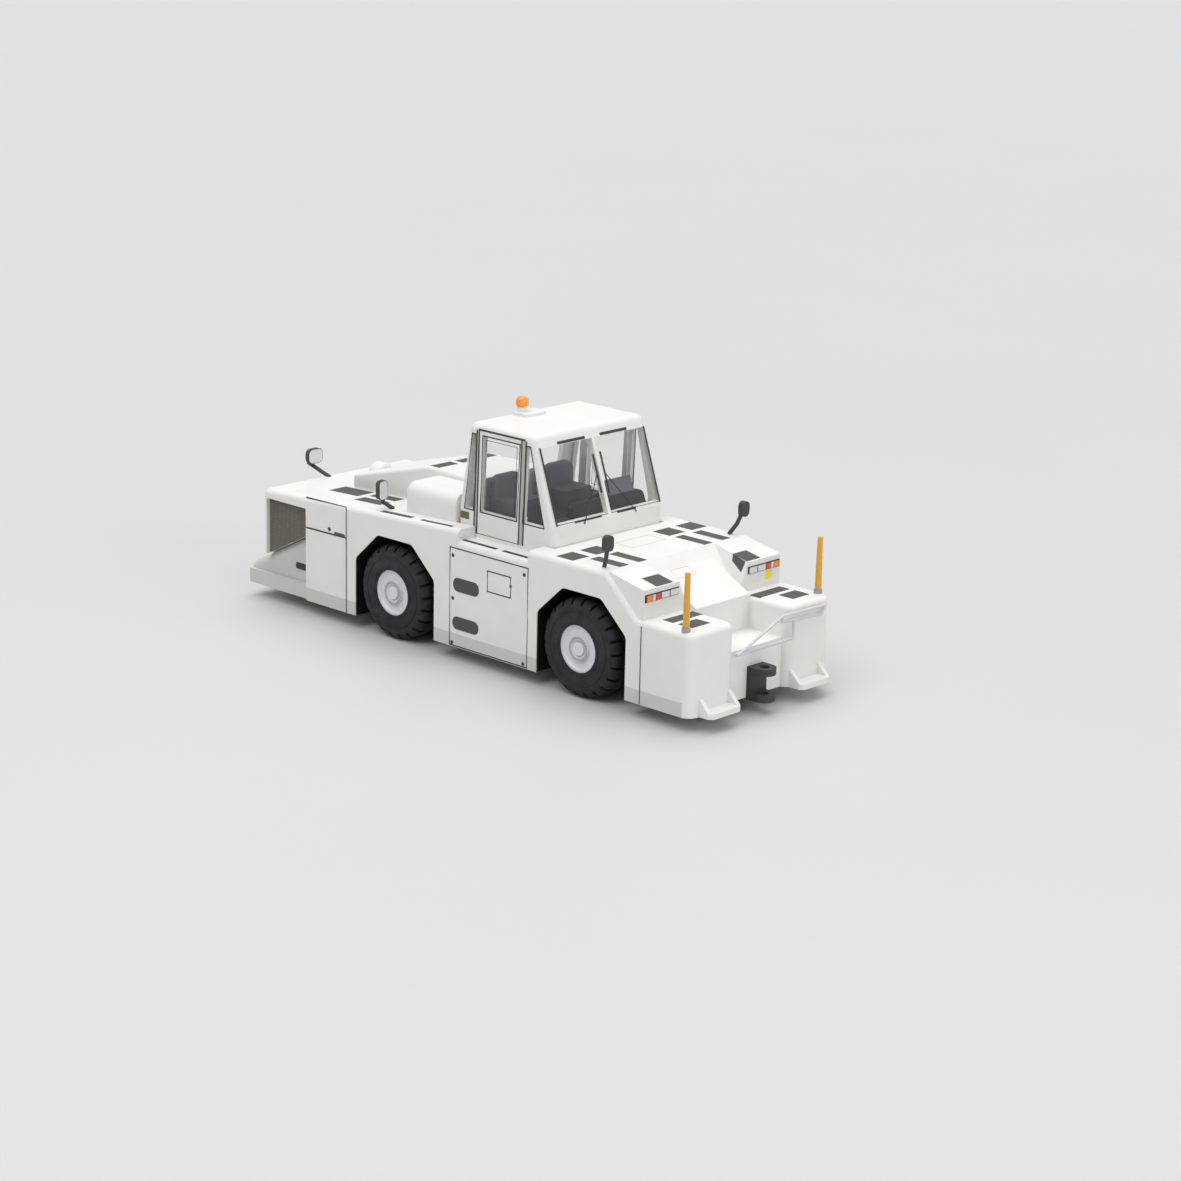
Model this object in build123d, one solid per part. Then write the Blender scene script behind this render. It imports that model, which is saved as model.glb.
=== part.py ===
from build123d import *

import os

# Die-cast scale model of an airport tow tractor, in millimetres.
# x runs forward from the middle of the wheelbase, y to the left and z up from the ground.

# Wheels and axles
WHEELBASE = 19.5
TYRE_RADIUS = 3.7
TYRE_WIDTH = 2.6
TYRE_INSET = 0.2
SHOULDER_RADIUS = 0.75
GROOVE_COUNT = 22
GROOVE_WIDTH = 0.22
GROOVE_DEPTH = 0.15
GROOVE_END_DEPTH = 0.5
GROOVE_START = 0.2
HUB_RADIUS = 1.77
HUB_RECESS = 0.12
HUB_DISH = 0.16
HUB_RING_RADIUS = 0.95
HUB_CAP_RADIUS = 0.52
HUB_CAP_HEIGHT = 0.2
AXLE_RADIUS = 0.5
AXLE_CLEARANCE = 0.05
WHEEL_GAP = 0.4

# Hull casting
HALF_WIDTH = 7.68
HULL_BOTTOM = 1.1
DECK_HEIGHT = 10.05
DECK_EDGE_RADIUS = 0.42
REAR_DECK_RISE = 0.1
REAR_DECK_DROP = 0.95
REAR_FACE = -24.5
REAR_PANEL_EDGE = -19.4
REAR_COLUMN = 0.45
RECESS_TOP_EDGE = 0.7
RECESS_DEPTH = 0.45
BOARD_DROP = 0.75
BOARD_REAR = -2.4
BOARD_FRONT = 4.85
SLOPE_TOP = 12.5
SLOPE_FOOT = 16.0
BOX_FRONT = 20.7
BOX_HEIGHT = 7.2
BOX_INNER = 2.9
BOX_CORNER_RADIUS = 0.8
BOX_EDGE_RADIUS = 0.42
NOTCH_FLOOR = 4.8
HOOD_TOP = 11.9
HOOD_FOOT = 16.9
HOOD_LIP = 7.35
POD_FRONT = 15.95
POD_DROP = 0.7
POD_INSET = 0.28
POD_TOP_WIDTH = 3.45
POD_FOOT_WIDTH = 4.7
POD_FLARE = 0.75
ARCH_GAP_REAR = 0.2
ARCH_GAP_FRONT = 1.15
ARCH_GAP_TOP = 0.62
ARCH_CORNER_RUN = 2.5
ARCH_CORNER_RISE = 2.3
ARCH_CORNER_RADIUS = 0.7

# Front feet at the bottom of the boxes
FOOT_REACH = 1.15
FOOT_WIDTH = 3.4
FOOT_INSET = 1.03
FOOT_THICKNESS = 0.4
FOOT_CORNER_RADIUS = 0.5
FOOT_RIB = 0.35
FOOT_RIB_HEIGHT = 1.25
FOOT_RIB_REACH = 0.85

# Cab
CAB_REAR = -4.35
CAB_FRONT = 5.75
CAB_INSET = 1.83
CAB_WAIST_RISE = 2.15
CAB_HEIGHT = 8.65
CAB_ROOF_REAR = -3.15
CAB_ROOF_FRONT = 3.5
CAB_WALL = 0.45
CAB_EDGE_RADIUS = 0.55
CAB_SEAT_GAP = 0.05
WINDOW_HEAD = 0.9
SILL_DROP = 0.1
SCREEN_SILL_RISE = 0.25
DOOR_WINDOW = (-1.95, 2.0)
DOOR_LEAN = 0.25
QUARTER_PILLAR = 0.75
QUARTER_TOP = 0.35
SCREEN_PILLAR = 0.32
SCREEN_EDGE = 0.35
SCREEN_DEPTH = 1.2
REAR_SILL_RISE = 1.75
REAR_HEAD = 0.3
REAR_WINDOW_EDGE = 1.45
GLASS_INSET = 0.08
GLASS_THICKNESS = 0.25

# Cab interior
FLOOR_THICKNESS = 0.4
SEAT_WIDTH = 2.9
SEAT_WALL_GAP = 1.2
CUSHION_RISE = 2.7
CUSHION_LENGTH = 2.6
BACK_RISE = 4.4
BACK_THICKNESS = 0.8
SEAT_REAR = -2.75
DASH_DEPTH = 1.5
DASH_RISE = 1.0
DASH_LIP = 0.6
DASH_LEAN = 0.4
DASH_RIGHT = 2.6
DASH_CORNER = 0.4
CONSOLE_RISE = 1.15
CONSOLE_WIDTH = 2.8
BACK_EDGE = 0.25
STEERING_RADIUS = 1.05
STEERING_RIM = 0.13
STEERING_TILT = 35
COLUMN_REACH = 1.25
COLUMN_RISE = 0.9
COLUMN_DROP = 0.3

# Cowl, its filler cap and the tank box behind the cab
COWL_REAR = -19.2
COWL_RIGHT = 2.8
COWL_LEFT = 4.2
COWL_LEVEL = -10.9
COWL_REAR_RISE = 1.13
COWL_FRONT_RISE = 2.5
COWL_EDGE_RADIUS = 0.3
FILLER_PLACE = (-18.5, -0.6)
FILLER_RADIUS = 0.95
FILLER_LENGTH = 1.3
FILLER_SINK = 0.4
FILLER_EDGE_RADIUS = 0.35
TANK_REAR = -10.3
TANK_INSET = 1.68
TANK_RISE = 2.05
TANK_EDGE_RADIUS = 1.0

# Base plate
BASE_THICKNESS = 0.4
BASE_INSET = 0.38
BASE_CORNER_RADIUS = 0.5
BASE_REAR = -18.6
BASE_FRONT = 19.2
SCREW_RADIUS = 0.7
SCREW_HEIGHT = 0.2
SCREW_SINK = 0.04
SCREW_ROOM = 0.05
SCREW_PLACES = (-15.5, 0.0, 17.0)
SCREW_SLOT = 0.18

# Rear platform, a ramp under the tail of the hull
PLATFORM_REACH = 2.0
PLATFORM_INSET = 0.28
RAMP_INSET = 0.3
RAMP_TAIL = 2.8
RAMP_HEAD = 6.35
RAMP_EDGE_RADIUS = 0.7
SKIRT_HEIGHT = 1.15

# Tow pintles
PINTLE_WIDTH = 1.7
PINTLE_REACH = 1.75
PINTLE_ROOM = 0.45
JAW_THICKNESS = 0.5
PINTLE_BOTTOM = 0.95
PINTLE_TOP = 3.4
PINTLE_BORE = 0.8
PINTLE_BACK = 0.45
PINTLE_SEAT = 0.65
REAR_PINTLE_BOTTOM = 1.3
REAR_PINTLE_TOP = 3.2

# Small fittings
POLE_BACK = 0.95
POLE_INSET = 0.48
POLE_RADIUS = 0.25
POLE_TIP_RADIUS = 0.2
POLE_HEIGHT = 4.2
COLLAR_RADIUS = 0.32
COLLAR_HEIGHT = 0.3
RACK_REACH = 0.3
RACK_TUBE = 0.11
STALK_RADIUS = 0.16
HITCH_MIRROR_BACK = 0.75
BEACON_PLACE = (-2.0, -0.75)
BEACON_LENGTH = 1.6
BEACON_WIDTH = 2.3
BEACON_THICKNESS = 0.22
BEACON_CORNER_RADIUS = 0.4
LENS_OFFSET = (-0.38, -0.42)
LENS_RADIUS = 0.48
LENS_HEIGHT = 0.78
LENS_FOOT_RADIUS = 0.38
LENS_FOOT_HEIGHT = 0.36
LENS_ROUND = 0.34
LAMP_INSET = 0.1
LAMP_LENGTH = 3.55
LAMP_DROP = 0.93
LAMP_HEIGHT = 0.57
LAMP_DEPTH = 0.1
LAMP_POCKET = 0.08
LAMP_RIM = 0.05
LAMP_BULGE = 0.06
GRILLE_THICKNESS = 0.12
GRILLE_PITCH = 0.7
GRILLE_BAR = 0.2
GRILLE_FRAME = 0.5
GRILLE_POCKET = 0.06
REAR_GRILLE_INSET = 1.6
LOUVRE_PITCH = 1.0
LOUVRE_SLOT = 0.65

# Sizes worked out from those above
FOOT_TIP = BOX_FRONT + FOOT_REACH
POLE_PLACE = BOX_FRONT - POLE_BACK
RACK_PLANE = BOX_FRONT + RACK_REACH
PLATFORM_REAR = REAR_FACE - PLATFORM_REACH
SHIFT = -(FOOT_TIP + PLATFORM_REAR) / 2
AXLES = {"front": WHEELBASE / 2, "rear": -WHEELBASE / 2}
SIDES = {"left": 1, "right": -1}
AXLE_HEIGHT = TYRE_RADIUS
TYRE_CENTRE = HALF_WIDTH - TYRE_INSET - TYRE_WIDTH / 2
ARCH_WALL = TYRE_CENTRE - TYRE_WIDTH / 2 - WHEEL_GAP
REAR_DECK_HEIGHT = DECK_HEIGHT + REAR_DECK_RISE
REAR_TOP = REAR_DECK_HEIGHT - REAR_DECK_DROP
CAB_FLOOR = DECK_HEIGHT - BOARD_DROP
CAB_HALF_WIDTH = HALF_WIDTH - CAB_INSET
CAB_WAIST = CAB_FLOOR + CAB_WAIST_RISE
CAB_ROOF = CAB_FLOOR + CAB_HEIGHT
WINDOW_TOP = CAB_ROOF - WINDOW_HEAD
WINDOW_SILL = CAB_WAIST - SILL_DROP
SEAT_PLACE = CAB_HALF_WIDTH - CAB_WALL - SEAT_WALL_GAP - SEAT_WIDTH / 2
COWL_FRONT = CAB_REAR - CAB_SEAT_GAP
POD_OUTER = HALF_WIDTH - POD_INSET
POD_TOP = DECK_HEIGHT - POD_DROP
LAMP_OUTER = POD_OUTER - LAMP_INSET
LAMP_BOTTOM = POD_TOP - LAMP_DROP
FOOT_OUTER = HALF_WIDTH - FOOT_INSET
POLE_HALF = HALF_WIDTH - POLE_INSET
PLATFORM_HALF = HALF_WIDTH - PLATFORM_INSET
BEYOND = 2.0


def block(x0, x1, y0, y1, z0, z1):
    """Box between two corners."""
    return Pos((x0 + x1) / 2, (y0 + y1) / 2, (z0 + z1) / 2) * Box(x1 - x0, y1 - y0, z1 - z0)


def side_prism(outline, y0, y1):
    """Prism of an x-z outline between two y places."""
    return extrude(Plane.XZ.offset(-y0) * Polygon(*outline, align=None), amount=y1 - y0, dir=(0, 1, 0))


def span(side, inner, outer):
    """Low and high y of a stretch from inner to outer on one side."""
    return tuple(sorted((side * inner, side * outer)))


def both_sides(outline, inner, outer):
    """The same x-z prism on the left and on the right."""
    return [side_prism(outline, *span(side, inner, outer)) for side in SIDES.values()]


def front_prism(outline, x0, x1):
    """Prism of a y-z outline between two x places."""
    return extrude(Plane.YZ.offset(x0) * Polygon(*outline, align=None), amount=x1 - x0, dir=(1, 0, 0))


def rod(points, radius):
    """Round wire through the points, with ball corners."""
    wire = None
    for start, end in zip(points, points[1:]):
        run = Vector(*end) - Vector(*start)
        piece = Plane(origin=start, z_dir=run) * Cylinder(
            radius, run.length, align=(Align.CENTER, Align.CENTER, Align.MIN))
        wire = piece if wire is None else wire + piece
    for corner in points[1:-1]:
        wire += Pos(*corner) * Sphere(radius)
    return wire


def across(x, z, radius, length):
    """Round bar along y about the middle plane."""
    return Pos(x, 0, z) * Rot(90, 0, 0) * Cylinder(radius, length)


def rear_deck_z(x):
    """Height of the rear deck, which falls towards the rear face."""
    return REAR_DECK_HEIGHT - REAR_DECK_DROP * (BOARD_REAR - x) / (BOARD_REAR - REAR_FACE)


def ramp_z(x):
    """Height of the platform's ramp, which the underside of the hull's tail follows."""
    return RAMP_TAIL + (RAMP_HEAD - RAMP_TAIL) * (x - PLATFORM_REAR) / (REAR_PANEL_EDGE - PLATFORM_REAR)


def cowl_z(x):
    """Height of the cowl's top, which rises forward and is level near the cab."""
    low = rear_deck_z(COWL_REAR) + COWL_REAR_RISE
    high = REAR_DECK_HEIGHT + COWL_FRONT_RISE
    return low + (high - low) * min(1, (x - COWL_REAR) / (COWL_LEVEL - COWL_REAR))


def arch_cutter(axle, side):
    """Wheel opening with two sloping, rounded upper corners."""
    rear = axle - TYRE_RADIUS - ARCH_GAP_REAR
    front = axle + TYRE_RADIUS + ARCH_GAP_FRONT
    top = AXLE_HEIGHT + TYRE_RADIUS + ARCH_GAP_TOP
    shoulder = top - ARCH_CORNER_RISE
    low = HULL_BOTTOM - BEYOND
    opening = side_prism([(rear, low), (rear, shoulder), (rear + ARCH_CORNER_RUN, top),
                          (front - ARCH_CORNER_RUN, top), (front, shoulder), (front, low)],
                         *span(side, ARCH_WALL, HALF_WIDTH + BEYOND))
    corners = [edge for edge in opening.edges().filter_by(Axis.Y) if edge.center().Z > HULL_BOTTOM]
    return fillet(corners, ARCH_CORNER_RADIUS)


# Hull casting: one long tub with decks, wheel openings, two front boxes and the lamp pods
def make_front_box(side):
    box = block(SLOPE_TOP, BOX_FRONT, *span(side, BOX_INNER, HALF_WIDTH), HULL_BOTTOM, BOX_HEIGHT)
    box = fillet(box.edges().filter_by(Axis.Z).group_by(Axis.X)[-1], BOX_CORNER_RADIUS)
    top = box.faces().sort_by(Axis.Z)[-1]
    rims = [edge for edge in top.edges() if edge.center().X > SLOPE_TOP + BOX_EDGE_RADIUS]
    return fillet(rims, BOX_EDGE_RADIUS)


def make_pod(side):
    rear = SLOPE_TOP - POD_FLARE
    low = BOX_HEIGHT - BOX_EDGE_RADIUS
    section = [(POD_OUTER, low), (POD_OUTER, DECK_HEIGHT), (POD_OUTER - POD_TOP_WIDTH, DECK_HEIGHT),
               (POD_OUTER - POD_FOOT_WIDTH, low)]
    pod = front_prism([(side * y, z) for y, z in section], rear, POD_FRONT)
    outline = [(rear, low), (rear, DECK_HEIGHT - DECK_EDGE_RADIUS), (SLOPE_TOP, DECK_HEIGHT),
               (POD_FRONT, POD_TOP), (POD_FRONT, low)]
    return pod & side_prism(outline, *span(side, 0, HALF_WIDTH))


def make_foot(side):
    back = BOX_FRONT - BOX_CORNER_RADIUS
    inner = FOOT_OUTER - FOOT_WIDTH
    plate = HULL_BOTTOM + FOOT_THICKNESS
    foot = block(back, FOOT_TIP, *span(side, inner, FOOT_OUTER), HULL_BOTTOM, plate)
    foot = fillet(foot.edges().filter_by(Axis.Z).group_by(Axis.X)[-1], FOOT_CORNER_RADIUS)
    rib_top = HULL_BOTTOM + FOOT_RIB_HEIGHT
    rib_end = BOX_FRONT + FOOT_RIB_REACH
    rib = [(back, HULL_BOTTOM), (rib_end, HULL_BOTTOM), (rib_end, plate), (BOX_FRONT, rib_top),
           (back, rib_top)]
    for start in (inner, FOOT_OUTER - FOOT_RIB):
        foot += side_prism(rib, *span(side, start, start + FOOT_RIB))
    return foot


def make_hull():
    body = side_prism([
        (REAR_PANEL_EDGE, HULL_BOTTOM), (REAR_PANEL_EDGE, RAMP_HEAD), (REAR_FACE, ramp_z(REAR_FACE)),
        (REAR_FACE, REAR_TOP), (BOARD_REAR, REAR_DECK_HEIGHT), (BOARD_REAR, CAB_FLOOR),
        (BOARD_FRONT, CAB_FLOOR), (BOARD_FRONT, DECK_HEIGHT), (SLOPE_TOP, DECK_HEIGHT),
        (SLOPE_FOOT, BOX_HEIGHT - BOX_EDGE_RADIUS), (SLOPE_FOOT, HULL_BOTTOM)], -HALF_WIDTH, HALF_WIDTH)
    upper = BOX_HEIGHT + BOX_EDGE_RADIUS
    rims = [edge for edge in body.edges()
            if abs(abs(edge.center().Y) - HALF_WIDTH) < 0.01 and edge.center().Z > upper
            and abs(edge.tangent_at(0.5).X) > 0.5]
    tail = [edge for edge in body.edges() if abs(edge.center().X - REAR_FACE) < 0.01]
    rims += [edge for edge in tail if edge.center().Z > ramp_z(REAR_FACE) + DECK_EDGE_RADIUS]
    body = fillet(rims, DECK_EDGE_RADIUS)
    seat = BOX_FRONT - PINTLE_SEAT
    body += block(SLOPE_FOOT - BEYOND, seat, -BOX_INNER, BOX_INNER, HULL_BOTTOM, NOTCH_FLOOR)
    body += side_prism([(HOOD_TOP, DECK_HEIGHT), (HOOD_FOOT, HOOD_LIP), (HOOD_FOOT, HULL_BOTTOM),
                        (HOOD_TOP, HULL_BOTTOM)], -BOX_INNER, BOX_INNER)
    for side in SIDES.values():
        body = body + make_front_box(side) + make_pod(side) + make_foot(side)
        for axle in AXLES.values():
            body -= arch_cutter(axle, side)
        body -= block(REAR_FACE + REAR_COLUMN, REAR_PANEL_EDGE,
                      *span(side, HALF_WIDTH - RECESS_DEPTH, HALF_WIDTH + BEYOND),
                      HULL_BOTTOM, REAR_TOP - RECESS_TOP_EDGE)
        body -= block(POD_FRONT - LAMP_POCKET, POD_FRONT + BEYOND,
                      *span(side, LAMP_OUTER - LAMP_LENGTH, LAMP_OUTER),
                      LAMP_BOTTOM, LAMP_BOTTOM + LAMP_HEIGHT)
        body -= Pos(POLE_PLACE, side * POLE_HALF, BOX_HEIGHT) * Cylinder(POLE_RADIUS, 2 * COLLAR_HEIGHT)
    for axle in AXLES.values():
        body -= across(axle, AXLE_HEIGHT, AXLE_RADIUS + AXLE_CLEARANCE, 4 * HALF_WIDTH)
    half = CAB_HALF_WIDTH + CAB_SEAT_GAP
    return body - block(COWL_FRONT, CAB_FRONT + CAB_SEAT_GAP, -half, half, CAB_FLOOR, DECK_HEIGHT + BEYOND)


# Cab: a hollow shell with a leaning windscreen, open below, and its clear panes
def cab_block(inset, bottom):
    outline = [(CAB_REAR + inset, bottom), (CAB_FRONT - inset, bottom), (CAB_FRONT - inset, CAB_WAIST),
               (CAB_ROOF_FRONT - inset * 1.1, CAB_ROOF - inset), (CAB_ROOF_REAR + inset, CAB_ROOF - inset),
               (CAB_REAR + inset, CAB_WAIST)]
    half = CAB_HALF_WIDTH - inset
    return side_prism(outline, -half, half)


def window_cutters():
    reach = CAB_HALF_WIDTH - 3 * CAB_WALL
    rear, front = DOOR_WINDOW
    pillar = QUARTER_PILLAR
    rear_edge = CAB_REAR + CAB_WALL + QUARTER_TOP
    front_edge = CAB_FRONT - CAB_WALL - 2 * QUARTER_TOP
    side_outlines = {
        "door": [(rear, WINDOW_SILL), (front - DOOR_LEAN, WINDOW_SILL), (front, WINDOW_TOP),
                 (rear + DOOR_LEAN, WINDOW_TOP)],
        "front_quarter": [(front - DOOR_LEAN + pillar, WINDOW_SILL), (front_edge, WINDOW_SILL),
                          (front + pillar + QUARTER_TOP, WINDOW_TOP), (front + pillar, WINDOW_TOP)],
        "rear_quarter": [(rear_edge, WINDOW_SILL), (rear - pillar, WINDOW_SILL),
                         (rear - pillar + DOOR_LEAN, WINDOW_TOP), (CAB_ROOF_REAR + QUARTER_TOP, WINDOW_TOP)],
    }
    cutters = []
    for outline in side_outlines.values():
        cutters += both_sides(outline, reach, CAB_HALF_WIDTH + BEYOND)
    for side in SIDES.values():
        cutters.append(block(CAB_ROOF_FRONT - SCREEN_DEPTH, CAB_FRONT + BEYOND,
                             *span(side, SCREEN_PILLAR / 2, CAB_HALF_WIDTH - SCREEN_EDGE),
                             CAB_WAIST + SCREEN_SILL_RISE, WINDOW_TOP))
    half = CAB_HALF_WIDTH - REAR_WINDOW_EDGE
    cutters.append(block(CAB_REAR - BEYOND, CAB_ROOF_REAR + CAB_WALL, -half, half,
                         CAB_WAIST + REAR_SILL_RISE, WINDOW_TOP - REAR_HEAD))
    return cutters


def make_cab():
    shell = cab_block(0, CAB_FLOOR)
    rims = [edge for edge in shell.edges()
            if edge.center().Z > CAB_FLOOR + CAB_WAIST_RISE / 3 and abs(edge.center().Z - CAB_WAIST) > 0.01]
    shell = fillet(rims, CAB_EDGE_RADIUS)
    shell -= cab_block(CAB_WALL, CAB_FLOOR - BEYOND)
    return shell - window_cutters()


def make_glazing():
    skin = cab_block(GLASS_INSET, CAB_FLOOR) - cab_block(GLASS_INSET + GLASS_THICKNESS, CAB_FLOOR - BEYOND)
    return [skin & cutter for cutter in window_cutters()]


def make_interior():
    inner = CAB_WALL
    half = CAB_HALF_WIDTH - inner
    floor = CAB_FLOOR + FLOOR_THICKNESS
    tub = block(CAB_REAR + inner, CAB_FRONT - inner, -half, half, CAB_FLOOR, floor)
    for side in SIDES.values():
        y = side * SEAT_PLACE
        cushion = block(SEAT_REAR, SEAT_REAR + CUSHION_LENGTH, y - SEAT_WIDTH / 2, y + SEAT_WIDTH / 2,
                        floor, CAB_FLOOR + CUSHION_RISE)
        back = block(SEAT_REAR, SEAT_REAR + BACK_THICKNESS, y - SEAT_WIDTH / 2, y + SEAT_WIDTH / 2,
                     floor, CAB_FLOOR + BACK_RISE)
        back = fillet(back.edges().filter_by(Axis.X).group_by(Axis.Z)[-1], SEAT_WIDTH / 4)
        back = fillet(back.edges().group_by(Axis.Z)[-1], BACK_EDGE)
        tub += cushion
        tub += back
    rear, front = CAB_FRONT - inner - DASH_DEPTH, CAB_FRONT - inner
    dash = block(rear, front, -half, half, floor, CAB_WAIST)
    top = CAB_WAIST + DASH_RISE
    hood = side_prism([(rear, CAB_WAIST), (front - DASH_LIP, CAB_WAIST), (front - DASH_LIP - DASH_LEAN, top),
                       (rear, top)], -DASH_RIGHT, half - SCREEN_EDGE)
    hood = fillet(hood.edges().filter_by(Axis.X).group_by(Axis.Z)[-1], DASH_CORNER)
    console = side_prism([(rear, CAB_WAIST), (front - DASH_LIP - DASH_LEAN, CAB_WAIST),
                          (front - DASH_LIP - DASH_LEAN, top), (rear, top + CONSOLE_RISE)],
                         SEAT_PLACE - CONSOLE_WIDTH / 2, SEAT_PLACE + CONSOLE_WIDTH / 2)
    return tub + dash + hood + console


def make_steering_wheel():
    post_end = (CAB_FRONT - CAB_WALL - DASH_DEPTH, SEAT_PLACE, CAB_WAIST - COLUMN_DROP)
    tilt = Rot(0, -STEERING_TILT, 0)
    hub = Vector(post_end[0] - COLUMN_REACH, post_end[1], post_end[2] + COLUMN_RISE)
    rim = Pos(*hub) * tilt * Torus(STEERING_RADIUS, STEERING_RIM)
    spoke = Pos(*hub) * tilt * Box(STEERING_RIM, 2 * STEERING_RADIUS, STEERING_RIM)
    return rim + spoke + rod([post_end, tuple(hub)], STEERING_RIM)


# Cowl over the engine with its filler cap, and the rounded tank box beside it, on the falling rear deck
def make_cowl():
    outline = [(COWL_REAR, rear_deck_z(COWL_REAR)), (COWL_FRONT, rear_deck_z(COWL_FRONT)),
               (COWL_FRONT, cowl_z(COWL_FRONT)), (COWL_LEVEL, cowl_z(COWL_LEVEL)),
               (COWL_REAR, cowl_z(COWL_REAR))]
    cowl = side_prism(outline, -COWL_RIGHT, COWL_LEFT)
    rims = [edge for edge in cowl.edges()
            if edge.center().Z > cowl_z(COWL_REAR) + COWL_EDGE_RADIUS and abs(edge.tangent_at(0.5).X) > 0.5]
    return fillet(rims, COWL_EDGE_RADIUS)


def make_filler(cowl):
    x, y = FILLER_PLACE
    cap = Pos(x, y, cowl_z(x) - FILLER_SINK) * Rot(0, 90, 0) * Cylinder(FILLER_RADIUS, FILLER_LENGTH)
    cap = fillet(cap.edges().filter_by(GeomType.CIRCLE), FILLER_EDGE_RADIUS)
    seat = side_prism([(COWL_REAR - BEYOND, 0), (COWL_LEVEL, 0), (COWL_LEVEL, cowl_z(COWL_LEVEL)),
                       (COWL_REAR, cowl_z(COWL_REAR)), (COWL_REAR - BEYOND, cowl_z(COWL_REAR - BEYOND))],
                      -HALF_WIDTH, HALF_WIDTH)
    return cap - seat - cowl


def make_tank():
    top = REAR_DECK_HEIGHT + TANK_RISE
    outer = HALF_WIDTH - TANK_INSET
    outline = [(TANK_REAR, rear_deck_z(TANK_REAR)), (COWL_FRONT, rear_deck_z(COWL_FRONT)), (COWL_FRONT, top),
               (TANK_REAR, top)]
    box = side_prism(outline, -outer, -COWL_RIGHT)
    upright = box.edges().filter_by(Axis.Z).group_by(Axis.X)[0].sort_by(Axis.Y)[0]
    box = fillet(upright, TANK_EDGE_RADIUS)
    rims = [edge for edge in box.faces().sort_by(Axis.Z)[-1].edges()
            if edge.center().Y < -COWL_RIGHT - SCREW_ROOM and edge.center().X < COWL_FRONT - SCREW_ROOM]
    return fillet(rims, TANK_EDGE_RADIUS * 0.9)


# Wheels: grooved tyres, dished hubs and through axles
def make_tyre():
    depth = TYRE_RADIUS - HUB_RADIUS
    section = Pos(HUB_RADIUS + depth / 2, 0) * Rectangle(depth, TYRE_WIDTH)
    shoulders = section.vertices().group_by(Axis.X)[-1]
    tyre = revolve(fillet(shoulders, SHOULDER_RADIUS), Axis.Y)
    end = TYRE_WIDTH / 2
    outline = [(TYRE_RADIUS - GROOVE_DEPTH, GROOVE_START), (TYRE_RADIUS + BEYOND, GROOVE_START),
               (TYRE_RADIUS + BEYOND, end), (TYRE_RADIUS - GROOVE_END_DEPTH, end)]
    for half in (1, -1):
        section = Polygon(*[(x, half * y) for x, y in outline], align=None)
        groove = extrude(section, amount=GROOVE_WIDTH / 2, both=True)
        turns = [360 / GROOVE_COUNT * (index + half / 4) for index in range(GROOVE_COUNT)]
        tyre -= [Rot(0, turn, 0) * groove for turn in turns]
    return tyre


def make_hub(axle, side):
    inner = -TYRE_WIDTH / 2
    face = TYRE_WIDTH / 2 - HUB_RECESS
    outline = Polyline((AXLE_RADIUS, inner), (HUB_RADIUS, inner), (HUB_RADIUS, face),
                       (HUB_RADIUS - HUB_DISH, face), (HUB_RADIUS - 2 * HUB_DISH, face - HUB_DISH),
                       (HUB_RING_RADIUS, face - HUB_DISH), (HUB_RING_RADIUS, face),
                       (HUB_CAP_RADIUS + HUB_DISH, face), (HUB_CAP_RADIUS, face - HUB_DISH),
                       (AXLE_RADIUS, face - HUB_DISH), close=True)
    hub = revolve(make_face(outline), Axis.Y)
    return Pos(axle, side * TYRE_CENTRE, AXLE_HEIGHT) * (Rot(0, 0, 0 if side > 0 else 180) * hub)


def make_axle(axle):
    half = TYRE_CENTRE + TYRE_WIDTH / 2 - HUB_RECESS - HUB_DISH + HUB_CAP_HEIGHT
    return across(axle, AXLE_HEIGHT, AXLE_RADIUS, 2 * half)


# Base plate with its slotted screws sunk flush
def make_base():
    bottom = HULL_BOTTOM - BASE_THICKNESS
    half = ARCH_WALL - BASE_INSET
    plate = block(BASE_REAR, BASE_FRONT, -half, half, bottom, HULL_BOTTOM)
    plate = fillet(plate.edges().filter_by(Axis.Z), BASE_CORNER_RADIUS)
    sink = 2 * (SCREW_HEIGHT + SCREW_SINK)
    for x in SCREW_PLACES:
        plate -= Pos(x, 0, bottom) * Cylinder(SCREW_RADIUS + SCREW_ROOM, sink)
    return plate


def make_screws():
    low = HULL_BOTTOM - BASE_THICKNESS + SCREW_SINK
    screws = []
    for x in SCREW_PLACES:
        head = Pos(x, 0, low + SCREW_HEIGHT / 2) * Cylinder(SCREW_RADIUS, SCREW_HEIGHT)
        slot = Pos(x, 0, low) * Box(3 * SCREW_RADIUS, SCREW_SLOT, SCREW_HEIGHT)
        screws.append(head - slot)
    return screws


# Rear platform: a ramp up to the tail of the hull, with a skirt along each side and a notch for the pintle
def make_platform():
    ramp = [(PLATFORM_REAR, HULL_BOTTOM), (PLATFORM_REAR, RAMP_TAIL), (REAR_PANEL_EDGE, RAMP_HEAD),
            (REAR_PANEL_EDGE, HULL_BOTTOM)]
    half = PLATFORM_HALF - RAMP_INSET
    platform = side_prism(ramp, -half, half)
    rims = [edge for edge in platform.edges()
            if abs(edge.tangent_at(0.5).Y) < 0.5 and abs(edge.tangent_at(0.5).X) > 0.5
            and edge.center().Z > RAMP_TAIL]
    platform = fillet(rims, RAMP_EDGE_RADIUS)
    for side in SIDES.values():
        platform += block(PLATFORM_REAR, REAR_PANEL_EDGE, *span(side, half, PLATFORM_HALF),
                          HULL_BOTTOM, HULL_BOTTOM + SKIRT_HEIGHT)
    room = PINTLE_WIDTH / 2 + PINTLE_ROOM
    return platform - block(PLATFORM_REAR - BEYOND, PLATFORM_REAR + PINTLE_REACH, -room, room, 0, DECK_HEIGHT)


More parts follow.
